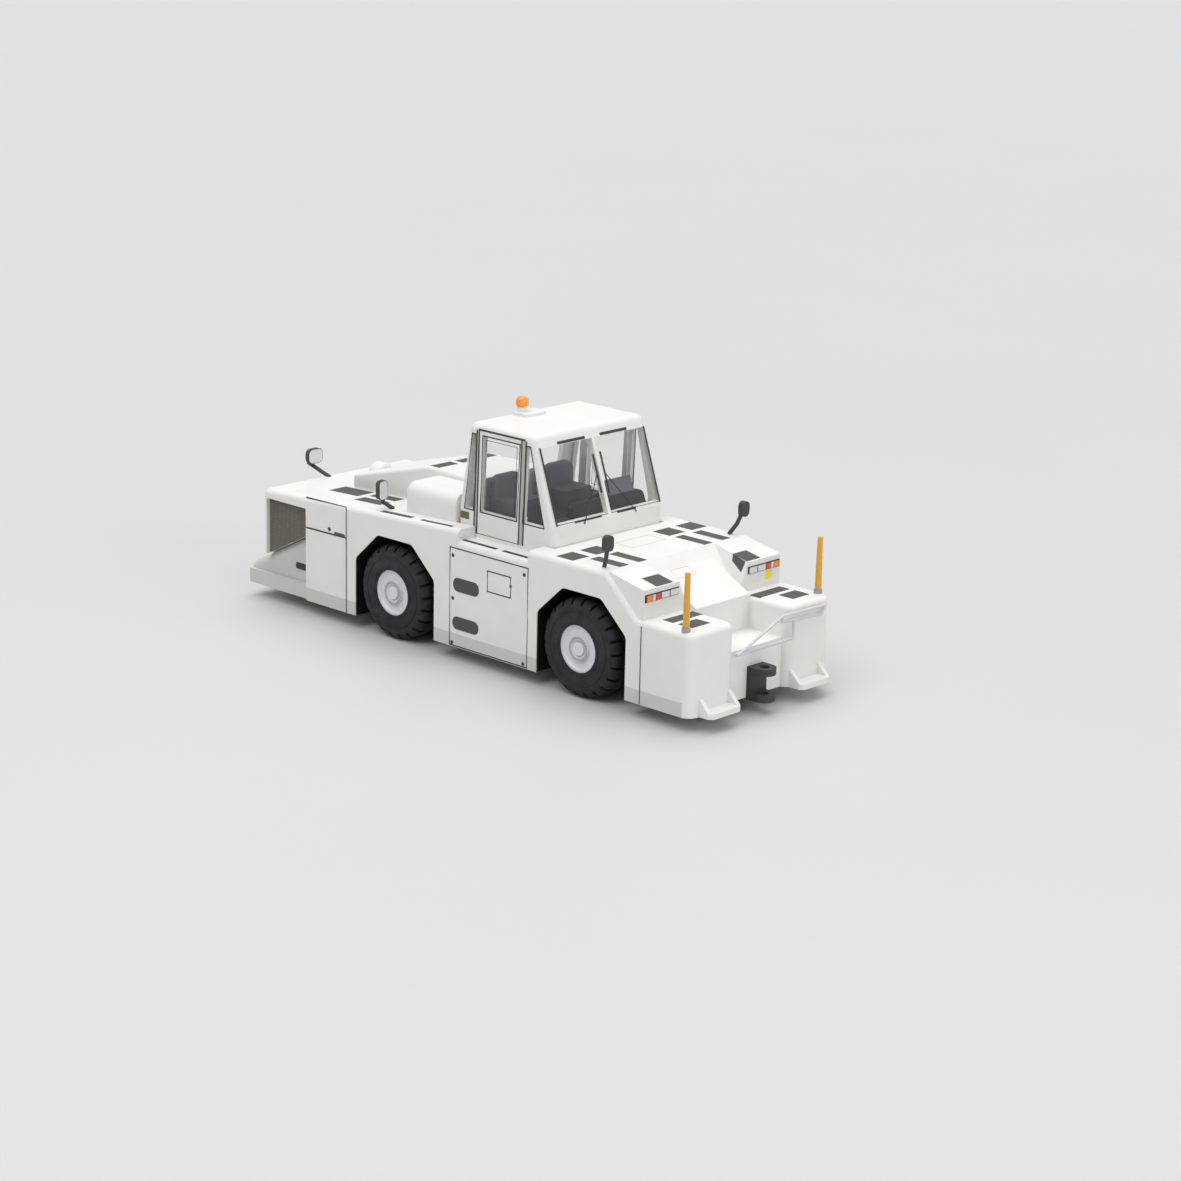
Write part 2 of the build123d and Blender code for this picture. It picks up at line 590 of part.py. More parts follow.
# Tow pintles: a back plate with two bored jaws
def make_pintle(mouth, bottom, top, facing):
    y = PINTLE_WIDTH / 2
    ends = sorted((mouth, mouth + facing * PINTLE_BACK))
    pintle = block(*ends, -y, y, bottom, top)
    middle = mouth + facing * (PINTLE_REACH - y)
    for low in (bottom, top - JAW_THICKNESS):
        jaw = block(*sorted((mouth, middle)), -y, y, low, low + JAW_THICKNESS)
        jaw += Pos(middle, 0, low + JAW_THICKNESS / 2) * Cylinder(y, JAW_THICKNESS)
        pintle += jaw
    return pintle - Pos(middle, 0, (bottom + top) / 2) * Cylinder(PINTLE_BORE / 2, 2 * (top - bottom))


# Marker poles, tow-bar rack, mirrors, beacon, lamps and grilles
def make_pole(side):
    foot = Pos(POLE_PLACE, side * POLE_HALF, BOX_HEIGHT)
    bottom = (Align.CENTER, Align.CENTER, Align.MIN)
    pole = foot * Cone(POLE_RADIUS, POLE_TIP_RADIUS, POLE_HEIGHT, align=bottom)
    collar = foot * Cylinder(COLLAR_RADIUS, COLLAR_HEIGHT, align=bottom)
    peg = foot * Cylinder(POLE_RADIUS, COLLAR_HEIGHT, align=(Align.CENTER, Align.CENTER, Align.MAX))
    return pole + collar + peg


# Rack tubes: y and z of each bend, in the plane just ahead of the boxes
RACK_FOOT = (BOX_INNER + RACK_TUBE, NOTCH_FLOOR + RACK_TUBE)
RACK_BEND = (BOX_INNER - 1.1, BOX_HEIGHT - 0.4)
RACK_INNER = (BOX_INNER - 1.2, BOX_HEIGHT - 0.8)
RACK_CLIP = (HALF_WIDTH - 1.58, BOX_HEIGHT - 1.1)
RACK_END = (HALF_WIDTH - 1.18, BOX_HEIGHT - 0.5)
RACK_FAR_FOOT = (-RACK_FOOT[0], RACK_FOOT[1])
RACK_TUBES = [
    [RACK_FAR_FOOT, RACK_BEND, RACK_END],
    [RACK_BEND, RACK_INNER, RACK_CLIP, RACK_END],
    [RACK_FOOT, (RACK_FOOT[0], BOX_HEIGHT - 0.9)],
    [RACK_FAR_FOOT, RACK_FOOT],
]

RACK_LUGS = [RACK_FAR_FOOT, RACK_FOOT, RACK_CLIP]


def make_rack():
    rack = None
    for bends in RACK_TUBES:
        tube = rod([(RACK_PLANE, y, z) for y, z in bends], RACK_TUBE)
        rack = tube if rack is None else rack + tube
    for y, z in RACK_LUGS:
        rack += rod([(BOX_FRONT, y, z), (RACK_PLANE, y, z)], RACK_TUBE)
        rack += Pos(RACK_PLANE, y, z) * Sphere(RACK_TUBE)
    return rack


# Mirrors: name, foot x, foot inset and side, head offset x, y, z, head depth, width, height and
# corner, then the bend of the stalk as shares of the offset along x and along z
MIRRORS = [
    ("front_mirror_right", 11.5, 0.94, -1, 0.85, -0.6, 2.0, 0.42, 0.82, 1.15, 0.36, 0.55, 0.41),
    ("front_mirror_left", 11.5, 0.94, 1, 0.85, 0.6, 2.0, 0.42, 0.82, 1.15, 0.36, 0.55, 0.41),
    ("side_mirror_right", -11.2, 1.73, -1, -0.7, -0.6, 1.45, 0.4, 0.9, 1.5, 0.3, 0.9, 0.35),
    ("hitch_mirror", REAR_FACE + HITCH_MIRROR_BACK, 6.33, -1, -1.8, -0.05, 1.42, 0.4, 1.5, 1.2, 0.45, 1.35, 0.5),
]


def make_mirror(x, inset, side, dx, dy, dz, depth, width, height, corner, bend_x, bend_z):
    foot_z = DECK_HEIGHT if x > 0 else rear_deck_z(x)
    foot = Vector(x, side * (HALF_WIDTH - inset), foot_z)
    head = foot + Vector(dx, dy, dz)
    elbow = foot + Vector(dx * bend_x, dy * bend_x, dz * bend_z)
    case = Pos(*head) * Box(depth, width, height)
    case = fillet(case.edges().filter_by(Axis.X), corner)
    return case + rod([tuple(foot), tuple(elbow), tuple(head)], STALK_RADIUS)


def make_beacon():
    x, y = BEACON_PLACE
    seat = (Align.CENTER, Align.CENTER, Align.MIN)
    base = Pos(x, y, CAB_ROOF) * Box(BEACON_LENGTH, BEACON_WIDTH, BEACON_THICKNESS, align=seat)
    base = fillet(base.edges().filter_by(Axis.Z), BEACON_CORNER_RADIUS)
    foot = Pos(x + LENS_OFFSET[0], y + LENS_OFFSET[1], CAB_ROOF + BEACON_THICKNESS)
    base += foot * Cylinder(LENS_FOOT_RADIUS, LENS_FOOT_HEIGHT, align=seat)
    lens = foot * Pos(0, 0, LENS_FOOT_HEIGHT) * Cylinder(LENS_RADIUS, LENS_HEIGHT, align=seat)
    lens = fillet(lens.edges().group_by(Axis.Z)[-1], LENS_ROUND)
    return base, fillet(lens.edges().group_by(Axis.Z)[0], LENS_ROUND / 2)


# Lamp lenses from the outer end inwards: start and end as shares of the cluster's length
LENSES = [(0.02, 0.2), (0.22, 0.3), (0.32, 0.52), (0.54, 0.75), (0.77, 0.98)]


def make_lamps(side):
    back = POD_FRONT - LAMP_POCKET
    front = back + LAMP_DEPTH
    low, high = LAMP_BOTTOM, LAMP_BOTTOM + LAMP_HEIGHT
    cluster = block(back, front, *span(side, LAMP_OUTER - LAMP_LENGTH, LAMP_OUTER), low, high)
    for start, end in LENSES:
        stretch = span(side, LAMP_OUTER - LAMP_LENGTH * end, LAMP_OUTER - LAMP_LENGTH * start)
        cluster += block(front, front + LAMP_BULGE, *stretch, low + LAMP_RIM, high - LAMP_RIM)
    return cluster


def make_side_grille(side):
    top = REAR_TOP - RECESS_TOP_EDGE
    wall = HALF_WIDTH - RECESS_DEPTH
    rear, front = REAR_FACE + REAR_COLUMN, REAR_PANEL_EDGE
    face = wall + GRILLE_THICKNESS
    plate = side_prism([(rear, ramp_z(rear)), (front, RAMP_HEAD), (front, top), (rear, top)],
                       *span(side, wall, face))
    cell = GRILLE_PITCH - GRILLE_BAR
    depth = span(side, face - GRILLE_POCKET, face + BEYOND)
    for column in range(int((front - rear - GRILLE_BAR) / GRILLE_PITCH)):
        x = rear + GRILLE_BAR + GRILLE_PITCH * column
        for row in range(int((top - GRILLE_BAR - ramp_z(x + GRILLE_PITCH)) / GRILLE_PITCH)):
            z = top - GRILLE_PITCH * (row + 1)
            plate -= block(x, x + cell, *depth, z, z + cell)
    return plate


def make_rear_grille():
    half = HALF_WIDTH - REAR_GRILLE_INSET
    low, high = ramp_z(REAR_FACE) + GRILLE_FRAME, REAR_TOP - 2 * GRILLE_FRAME
    face = REAR_FACE - 2 * GRILLE_THICKNESS
    plate = block(face, REAR_FACE, -half, half, low, high)
    for index in range(int((high - low - GRILLE_FRAME) / LOUVRE_PITCH)):
        z = low + GRILLE_FRAME / 2 + LOUVRE_PITCH * index
        plate -= block(face - BEYOND, face + GRILLE_THICKNESS, -half + GRILLE_FRAME, half - GRILLE_FRAME,
                       z + (LOUVRE_PITCH - LOUVRE_SLOT) / 2, z + (LOUVRE_PITCH + LOUVRE_SLOT) / 2)
    return plate


# Every piece by its node name
pieces = {
    "hull": make_hull(),
    "cab_shell": make_cab(),
    "cab_glazing": make_glazing(),
    "cab_interior": make_interior(),
    "steering_wheel": make_steering_wheel(),
    "engine_cowl": make_cowl(),
    "base_plate": make_base(),
    "base_screws": make_screws(),
    "rear_platform": make_platform(),
    "front_pintle": make_pintle(BOX_FRONT - PINTLE_SEAT, PINTLE_BOTTOM, PINTLE_TOP, 1),
    "rear_pintle": make_pintle(PLATFORM_REAR + PINTLE_REACH, REAR_PINTLE_BOTTOM, REAR_PINTLE_TOP, -1),
    "tow_bar_rack": make_rack(),
    "rear_grille": make_rear_grille(),
}
pieces["filler_cap"] = make_filler(pieces["engine_cowl"])
pieces["right_tank_box"] = make_tank()
for name, *place in MIRRORS:
    pieces[name] = make_mirror(*place)
pieces["beacon_base"], pieces["beacon_lens"] = make_beacon()
for side_name, side in SIDES.items():
    pieces[f"marker_pole_{side_name}"] = make_pole(side)
    pieces[f"lamp_cluster_{side_name}"] = make_lamps(side)
    pieces[f"side_grille_{side_name}"] = make_side_grille(side)
tyre = make_tyre()
for axle_name, axle in AXLES.items():
    pieces[f"{axle_name}_axle"] = make_axle(axle)
    for side_name, side in SIDES.items():
        pieces[f"{axle_name}_tyre_{side_name}"] = Pos(axle, side * TYRE_CENTRE, AXLE_HEIGHT) * tyre
        pieces[f"{axle_name}_hub_{side_name}"] = make_hub(axle, side)

os.makedirs("parts", exist_ok=True)
for name, piece in pieces.items():
    solids = piece if isinstance(piece, list) else [piece]
    shape = Compound(children=[Pos(SHIFT, 0, 0) * solid for solid in solids]) if len(solids) > 1 \
        else Pos(SHIFT, 0, 0) * solids[0]
    export_step(shape, f"parts/{name}.step")
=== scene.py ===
import math

import bmesh
import bpy
from mathutils import Matrix, Vector


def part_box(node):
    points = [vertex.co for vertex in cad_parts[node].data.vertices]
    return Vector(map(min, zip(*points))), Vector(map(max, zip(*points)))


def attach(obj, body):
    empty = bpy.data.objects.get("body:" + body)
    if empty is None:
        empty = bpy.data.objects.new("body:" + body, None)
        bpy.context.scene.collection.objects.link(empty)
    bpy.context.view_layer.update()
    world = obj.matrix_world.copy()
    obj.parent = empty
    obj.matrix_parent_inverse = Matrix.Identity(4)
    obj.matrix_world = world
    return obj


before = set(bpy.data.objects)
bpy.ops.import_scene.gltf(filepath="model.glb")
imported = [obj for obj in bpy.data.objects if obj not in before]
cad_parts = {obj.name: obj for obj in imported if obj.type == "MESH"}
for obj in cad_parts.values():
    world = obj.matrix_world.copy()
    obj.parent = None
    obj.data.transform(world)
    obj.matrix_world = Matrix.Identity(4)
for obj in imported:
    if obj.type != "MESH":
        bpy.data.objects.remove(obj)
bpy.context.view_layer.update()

# Hull casting: the long lower body, die-cast in zinc and sprayed with white enamel.
# A pale grey skirt band is masked on along the bottom of both sides.
MM = 0.001
rear_axle_low, rear_axle_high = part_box("rear_axle")
front_axle_low, front_axle_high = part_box("front_axle")
wheelbase_middle = (rear_axle_low.x + rear_axle_high.x + front_axle_low.x + front_axle_high.x) / 4


def at(x, y, z):
    """Place in the frame of a point in millimetres, with x from the middle of the wheelbase."""
    return Vector((wheelbase_middle + x * MM, y * MM, z * MM))


class Sock:
    """A shader socket that takes part in sums: each operator adds one Math node."""

    def __init__(self, finish, socket):
        self.finish = finish
        self.socket = socket

    def maths(self, operation, first, second):
        return self.finish.node("ShaderNodeMath", {"operation": operation}, {0: first, 1: second})[0]

    def __add__(self, other):
        return self.maths("ADD", self, other)

    __radd__ = __add__

    def __mul__(self, other):
        return self.maths("MULTIPLY", self, other)

    __rmul__ = __mul__

    def __sub__(self, other):
        return self.maths("SUBTRACT", self, other)

    def __rsub__(self, other):
        return self.maths("SUBTRACT", other, self)

    def __gt__(self, other):
        return self.maths("GREATER_THAN", self, other)

    def __lt__(self, other):
        return self.maths("LESS_THAN", self, other)

    def __abs__(self):
        return self.maths("ABSOLUTE", self, 0.0)


class Finish:
    """A procedural material, made node by node."""

    def __init__(self, name):
        self.material = bpy.data.materials.new(name)
        self.material.use_nodes = True
        self.tree = self.material.node_tree
        self.tree.nodes.clear()

    def node(self, kind, settings=None, inputs=None):
        """Adds a node, sets it up, feeds its sockets and returns its outputs."""
        made = self.tree.nodes.new(kind)
        for key, value in (settings or {}).items():
            setattr(made, key, value)
        for key, value in (inputs or {}).items():
            if isinstance(value, Sock):
                self.tree.links.new(value.socket, made.inputs[key])
            else:
                made.inputs[key].default_value = value
        return [Sock(self, socket) for socket in made.outputs]

    def coordinates(self):
        """Object coordinates in millimetres."""
        place = self.node("ShaderNodeTexCoord")[3]
        return self.node("ShaderNodeVectorMath", {"operation": "SCALE"}, {0: place, 3: 1 / MM})[0]

    def axes(self, place):
        return self.node("ShaderNodeSeparateXYZ", None, {0: place})

    def noise(self, place, scale, detail=3.0):
        inputs = {"Vector": place, "Scale": scale, "Detail": detail}
        return self.node("ShaderNodeTexNoise", None, inputs)[0]

    def ramp(self, value, low, high):
        return self.node("ShaderNodeMapRange", None, {0: value, 1: low, 2: high, 3: 0.0, 4: 1.0})[0]

    def mix(self, share, first, second):
        return self.node("ShaderNodeMix", {"data_type": "RGBA"}, {0: share, 6: first, 7: second})[2]

    def bump(self, height, strength, distance):
        return self.node("ShaderNodeBump", None,
                         {"Height": height, "Strength": strength, "Distance": distance})[0]

    def close(self, **sockets):
        """Ends in a Principled shader; names with spaces are written with underscores."""
        inputs = {key.replace("_", " "): value for key, value in sockets.items()}
        shader = self.node("ShaderNodeBsdfPrincipled", None, inputs)[0]
        self.node("ShaderNodeOutputMaterial", None, {0: shader})
        return self.material


def colour(red, green, blue):
    return (red, green, blue, 1.0)


WHITE = colour(0.80, 0.798, 0.78)
WHITE_WARM = colour(0.77, 0.762, 0.73)
SKIRT_GREY = colour(0.60, 0.595, 0.575)
SKIRT_TOP = 2.15
SKIRT_BLUR = 0.03
SKIRT_INNER = 6.4
# Painted shade: near-black put on the inner walls of the wheel openings, where deep shadow falls.
OPENING_PAINTED_SHADE = colour(0.012, 0.012, 0.013)
AXLE_PLACE = 9.75
AXLE_HEIGHT = 3.7
OPENING_REACH = 5.55
OPENING_TOP, OPENING_EDGE = 8.05, 7.6


def enamel(name, skirt_front=None, shades=(WHITE, WHITE_WARM)):
    """White enamel over a casting, with an orange-peel surface and faint settled dust.
    On the hull a grey skirt is masked on, and the wheel openings are painted black inside as painted shade
    for the deep shadow in them."""
    paint = Finish(name)
    place = paint.coordinates()
    mottle = paint.ramp(paint.noise(place, 0.55), 0.35, 0.7)
    peel = paint.noise(place, 9.0, 2.0)
    shade = paint.mix(mottle * 0.6, *shades)
    if skirt_front is not None:
        x, y, z = paint.axes(place)
        below = paint.ramp(z, SKIRT_TOP + SKIRT_BLUR, SKIRT_TOP - SKIRT_BLUR)
        outside = abs(y) > SKIRT_INNER
        behind = x < skirt_front
        shade = paint.mix(below * outside * behind, shade, SKIRT_GREY)
        along = abs(x - wheelbase_middle / MM) - AXLE_PLACE
        above = z - AXLE_HEIGHT
        near_axle = (along * along + above * above) < OPENING_REACH ** 2
        inside = (abs(y) < OPENING_EDGE) * (z < OPENING_TOP)
        # Painted shade: the inner walls of the wheel openings are painted black where deep shadow falls in
        # them.
        shade = paint.mix(near_axle * inside, shade, OPENING_PAINTED_SHADE)
    return paint.close(Base_Color=shade, Roughness=0.3 + 0.18 * peel, Specular_IOR_Level=0.2,
                       Coat_Weight=0.05, Coat_Roughness=0.2, Normal=paint.bump(peel, 0.12, 0.00004))


def dress(node, material):
    """Gives a CAD node its finish."""
    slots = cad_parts[node].data.materials
    slots.clear()
    slots.append(material)


BOX_CORNER_START = 20.0
RAMP_SHADES = (colour(0.58, 0.575, 0.56), colour(0.53, 0.525, 0.50))
skirt_end = at(BOX_CORNER_START, 0, 0).x / MM
dress("hull", enamel("hull_enamel", skirt_end))
dress("rear_platform", enamel("rear_platform_enamel", skirt_end, RAMP_SHADES))
for node in ("engine_cowl", "filler_cap", "right_tank_box", "cab_shell", "beacon_base"):
    dress(node, enamel(f"{node}_enamel"))
RACK_SHADES = (colour(0.62, 0.62, 0.66), colour(0.55, 0.55, 0.60))
dress("tow_bar_rack", enamel("tow_bar_rack_enamel", None, RACK_SHADES))

# Panel lines: fine black lines tampo-printed on the sides round doors, panels and hatches.
# Each is a path that a flat ribbon follows, just proud of the paint.
HALF_WIDTH = 7.68
LINE_WIDTH = 0.125
LINE_LIFT = 0.012
INK = colour(0.02, 0.02, 0.022)


def ink(name, shade=INK, rough=0.6):
    """Printed ink or moulded black: slightly uneven, with a dry surface."""
    print_ink = Finish(name)
    place = print_ink.coordinates()
    grain = print_ink.noise(place, 14.0, 4.0)
    pale = tuple(min(1.0, channel * 1.7 + 0.008) for channel in shade[:3]) + (1.0,)
    return print_ink.close(Base_Color=print_ink.mix(grain, shade, pale), Roughness=rough + 0.25 * grain,
                           Normal=print_ink.bump(grain, 0.2, 0.00003))


class Tree:
    """A Geometry Nodes tree with named inputs."""

    def __init__(self, name, sizes):
        self.group = bpy.data.node_groups.new(name, "GeometryNodeTree")
        add = self.group.interface.new_socket
        add("Geometry", in_out="INPUT", socket_type="NodeSocketGeometry")
        self.keys = {}
        for label, value in sizes.items():
            socket = add(label, in_out="INPUT", socket_type="NodeSocketFloat")
            socket.default_value = value
            self.keys[label] = socket.identifier
        add("Geometry", in_out="OUTPUT", socket_type="NodeSocketGeometry")
        self.source = self.group.nodes.new("NodeGroupInput").outputs

    def node(self, kind, settings=None, inputs=None):
        made = self.group.nodes.new(kind)
        for key, value in (settings or {}).items():
            setattr(made, key, value)
        for key, value in (inputs or {}).items():
            if isinstance(value, bpy.types.NodeSocket):
                self.group.links.new(value, made.inputs[key])
            else:
                made.inputs[key].default_value = value
        return made.outputs

    def close(self, geometry, material):
        real = self.node("GeometryNodeRealizeInstances", None, {0: geometry})[0]
        painted = self.node("GeometryNodeSetMaterial", None, {"Geometry": real, "Material": material})[0]
        self.node("NodeGroupOutput", None, {0: painted})
        return self

    def grow(self, name, carrier, body, sizes=None, slot="black_plastic"):
        """Runs the tree on a carrier object and keeps the result as one plain mesh on a body."""
        bpy.context.scene.collection.objects.link(carrier)
        modifier = carrier.modifiers.new("grow", "NODES")
        modifier.node_group = self.group
        for label, value in (sizes or {}).items():
            modifier[self.keys[label]] = value
        graph = bpy.context.evaluated_depsgraph_get()
        mesh = bpy.data.meshes.new_from_object(carrier.evaluated_get(graph))
        carrier.modifiers.clear()
        bpy.data.objects.remove(carrier)
        mesh.name = name
        piece = bpy.data.objects.new(name, mesh)
        bpy.context.scene.collection.objects.link(piece)
        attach(piece, body)


def path_carrier(name, paths):
    """A curve object with one straight-run spline for each path."""
    curve = bpy.data.curves.new(name, "CURVE")
    curve.dimensions = "3D"
    curve.twist_mode = "Z_UP"
    for points, closed in paths:
        spline = curve.splines.new("POLY")
        spline.points.add(len(points) - 1)
        for knot, point in zip(spline.points, points):
            knot.co = (*point, 1.0)
        spline.use_cyclic_u = closed
    return bpy.data.objects.new(name, curve)


def ribbon_tree(name, material):
    """A square-section ribbon along every path."""
    tree = Tree(name, {"Width": LINE_WIDTH * MM, "Height": 2 * LINE_LIFT * MM})
    section = tree.node("GeometryNodeCurvePrimitiveQuadrilateral", None,
                        {"Width": tree.source["Width"], "Height": tree.source["Height"]})[0]
    ribbon = tree.node("GeometryNodeCurveToMesh", None, {
        "Curve": tree.source["Geometry"], "Profile Curve": section, "Fill Caps": True})[0]
    return tree.close(ribbon, material)


# Side line paths: closed or not, then x and z of each corner
SIDE_LINES = [
    (False, [(-14.66, 1.1), (-14.66, 9.22)]),
    (False, [(-19.35, 7.02), (-14.66, 7.08)]),
    (True, [(-3.2, 1.2), (4.9, 1.2), (4.9, 8.72), (-3.2, 8.72)]),
    (True, [(0.75, 6.12), (3.15, 6.12), (3.15, 7.68), (0.75, 7.68)]),
    (False, [(16.05, 1.1), (16.05, 6.85)]),
]
printed_line = ink("panel_line_ink")
side_paths = []
for side in (-1, 1):
    for closed, corners in SIDE_LINES:
        side_paths.append(([at(x, side * HALF_WIDTH, z) for x, z in corners], closed))
ribbon_tree("panel line", printed_line).grow(
    "side_panel_lines", path_carrier("side_lines", side_paths), "chassis",
    {"Width": 2 * LINE_LIFT * MM, "Height": LINE_WIDTH * MM})
# The top line of the rear panel runs on the rounded deck edge: x, y and z of its bends
EDGE_LINE = [(-14.66, 7.67, 9.22), (-14.72, 7.64, 9.35), (-14.8, 7.55, 9.46), (-19.5, 7.49, 9.36)]
EDGE_LINE_SIZE = 0.1
edge_paths = [([at(x, side * y, z) for x, y, z in EDGE_LINE], False) for side in (-1, 1)]
ribbon_tree("edge line", printed_line).grow(
    "deck_edge_lines", path_carrier("edge_paths", edge_paths), "chassis",
    {"Width": EDGE_LINE_SIZE * MM, "Height": EDGE_LINE_SIZE * MM})

# Side slots, key holes, latches and hook prints: flat black shapes printed beside the panel lines.
# They are thin plates with rounded ends.
PRINT_LIFT = 0.015


def plate_mesh(name, outlines, lift, material):
    """Thin plates on the chassis: each outline is a ring of places with the outward normal."""
    shape = bmesh.new()
    for ring, normal in outlines:
        low = [shape.verts.new(place - normal * lift * MM) for place in ring]
        high = [shape.verts.new(place + normal * lift * MM) for place in ring]
        shape.faces.new(high)
        shape.faces.new(list(reversed(low)))
        count = len(ring)
        for index in range(count):
            follow = (index + 1) % count
            shape.faces.new((low[index], low[follow], high[follow], high[index]))
    bmesh.ops.recalc_face_normals(shape, faces=shape.faces)
    mesh = bpy.data.meshes.new(name)
    shape.to_mesh(mesh)
    shape.free()
    mesh.materials.append(material)
    piece = bpy.data.objects.new(name, mesh)
    bpy.context.scene.collection.objects.link(piece)
    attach(piece, "chassis")


def rounded(x0, x1, z0, z1, radius, steps=5):
    """Corner points of a rounded rectangle."""
    ring = []
    for centre_x, centre_z, start in ((x1 - radius, z1 - radius, 0), (x0 + radius, z1 - radius, 90),
                                      (x0 + radius, z0 + radius, 180), (x1 - radius, z0 + radius, 270)):
        for step in range(steps + 1):
            turn = math.radians(start + 90 * step / steps)
            ring.append((centre_x + radius * math.cos(turn), centre_z + radius * math.sin(turn)))
    return ring


# Side prints: x low, x high, z low, z high, corner radius
SIDE_PRINTS = [
    (-2.85, -0.12, 5.43, 6.5, 0.5),
    (-2.9, -0.12, 2.5, 3.5, 0.48),
    (-16.8, -16.46, 7.24, 7.57, 0.16),
    (-16.05, -14.85, 7.08, 7.32, 0.08),
    (3.02, 3.28, 6.9, 7.1, 0.09),
]
side_rings = []
for side in (-1, 1):
    for x0, x1, z0, z1, radius in SIDE_PRINTS:
        ring = [at(x, side * HALF_WIDTH, z) for x, z in rounded(x0, x1, z0, z1, radius)]
        side_rings.append((ring, Vector((0, side, 0))))
plate_mesh("side_slots", side_rings, PRINT_LIFT, ink("slot_ink", colour(0.05, 0.049, 0.047)))

# Panel bolts: small domed heads at the corners of the middle side panel.
# They are cast with the hull and picked out in black.
BOLT_RADIUS = 0.15
BOLT_FLATNESS = 0.35
# Bolts on each side: x and z
SIDE_BOLTS = [(-2.9, 8.13), (-2.88, 4.84), (-2.95, 1.4), (4.52, 8.16), (4.52, 1.42)]


def point_carrier(name, points):
    mesh = bpy.data.meshes.new(name)
    mesh.from_pydata([tuple(point) for point in points], [], [])
    return bpy.data.objects.new(name, mesh)


bolt_tree = Tree("bolt heads", {"Radius": BOLT_RADIUS * MM})
bolt_ball = bolt_tree.node("GeometryNodeMeshUVSphere", None,
                           {"Segments": 12, "Rings": 8, "Radius": bolt_tree.source["Radius"]})[0]
bolt_flat = bolt_tree.node("GeometryNodeTransform", None,
                           {"Geometry": bolt_ball, "Scale": (1.0, BOLT_FLATNESS, 1.0)})[0]
bolt_heads = bolt_tree.node("GeometryNodeInstanceOnPoints", None,
                            {"Points": bolt_tree.source["Geometry"], "Instance": bolt_flat})[0]
bolt_tree.close(bolt_heads, ink("bolt_black"))
bolt_places = [at(x, side * HALF_WIDTH, z) for side in (-1, 1) for x, z in SIDE_BOLTS]
bolt_tree.grow("side_panel_bolts", point_carrier("bolt_places", bolt_places), "chassis")

# Anti-slip pads: dark grey walkway patches printed on the decks, pods, cowl and box tops.
# They have a fine sandy grain, and two of them wrap over the inner edge of a pod.
DECK_HEIGHT = 10.05
BOX_HEIGHT = 7.2
COWL_TOP = 12.65
REAR_DECK_FRONT, REAR_DECK_TOP = -2.4, 10.15
REAR_DECK_FALL, REAR_DECK_LENGTH = 0.95, 22.1
POD_START, POD_SLOPE = 12.5, 0.203
UP = Vector((0, 0, 1))


def rear_deck_z(x):
    return REAR_DECK_TOP - REAR_DECK_FALL * (REAR_DECK_FRONT - x) / REAR_DECK_LENGTH


def pod_z(x):
    return DECK_HEIGHT - POD_SLOPE * (x - POD_START)


def flat(height):
    return lambda x: height


# Pads: height along x, x low, x high, y low, y high
PADS = [
    (flat(BOX_HEIGHT), 16.77, 17.75, -6.3, -3.15),
    (flat(BOX_HEIGHT), 18.2, 19.5, -6.3, -4.35),
    (flat(BOX_HEIGHT), 16.77, 17.75, 3.1, 6.45),
    (flat(BOX_HEIGHT), 18.2, 19.57, 4.6, 6.48),
    (pod_z, 14.42, 15.85, -6.0, -4.25),
    (pod_z, 14.42, 15.8, 3.77, 5.3),
    (rear_deck_z, -19.95, -16.65, -4.75, -3.0),
    (rear_deck_z, -15.9, -13.0, -5.75, -4.65),
    (rear_deck_z, -16.0, -13.1, -4.1, -3.1),
    (rear_deck_z, -11.3, -7.95, -7.3, -6.8),
    (rear_deck_z, -6.9, -3.5, -7.3, -6.95),
    (rear_deck_z, -19.95, -16.65, 4.75, 6.5),
    (rear_deck_z, -15.9, -13.0, 4.75, 6.5),
    (rear_deck_z, -11.3, -7.95, 4.75, 6.5),
    (flat(COWL_TOP), -10.85, -9.95, -2.45, -0.4),
    (flat(COWL_TOP), -10.85, -9.95, 0.1, 2.1),
    (flat(COWL_TOP), -10.85, -9.95, 2.6, 3.8),
]
# Pads of the front deck, alike on both sides: x low, x high, inner y, outer y
FRONT_PADS = [(7.25, 8.9, 5.55, 7.25), (7.25, 8.9, 3.05, 4.8), (9.4, 12.3, 3.1, 4.0), (9.4, 12.3, 5.05, 6.0)]
for side in (-1, 1):
    PADS += [(flat(DECK_HEIGHT), x0, x1, *sorted((side * inner, side * outer)))
             for x0, x1, inner, outer in FRONT_PADS]
pad_rings = []
for height, x0, x1, y0, y1 in PADS:
    ring = [at(x, y, height(x)) for x, y in ((x0, y0), (x1, y0), (x1, y1), (x0, y1))]
    pad_rings.append((ring, UP))
# The pad that wraps over a pod's inner edge: x, y and z of its corners, and the way it faces
POD_WRAP = [(14.45, 3.8, 9.65), (15.75, 3.69, 9.39), (15.62, 3.38, 8.62), (14.55, 3.62, 9.2)]
WRAP_INWARD, WRAP_UPWARD = 0.93, 0.37
for side in (-1, 1):
    wrap = [at(x, side * y, z) for x, y, z in POD_WRAP]
    pad_rings.append((wrap, Vector((0, -side * WRAP_INWARD, WRAP_UPWARD))))


PAD_SHADES = (colour(0.045, 0.045, 0.046), colour(0.10, 0.10, 0.098), colour(0.12, 0.12, 0.118))


def grit(name):
    """Dark anti-slip paint with sand in it."""
    paint = Finish(name)
    place = paint.coordinates()
    sand = paint.noise(place, 16.0, 2.0)
    patch = paint.noise(place, 1.1, 4.0)
    shade = paint.mix(paint.ramp(sand, 0.35, 0.7), PAD_SHADES[0], PAD_SHADES[1])
    return paint.close(Base_Color=paint.mix(patch * 0.4, shade, PAD_SHADES[2]),
                       Roughness=0.7 + 0.2 * patch, Normal=paint.bump(sand, 0.5, 0.00006))


plate_mesh("walkway_pads", pad_rings, PRINT_LIFT, grit("walkway_grit"))

# Hatch outlines: hairline grey frames printed on the front deck and on the sloping hood.
# The running boards beside the cab have two dark printed slots each.
HAIRLINE = 0.05
HOOD_START, HOOD_SLOPE = 11.9, 0.54


def hood_z(x):
    return DECK_HEIGHT - HOOD_SLOPE * (x - HOOD_START)


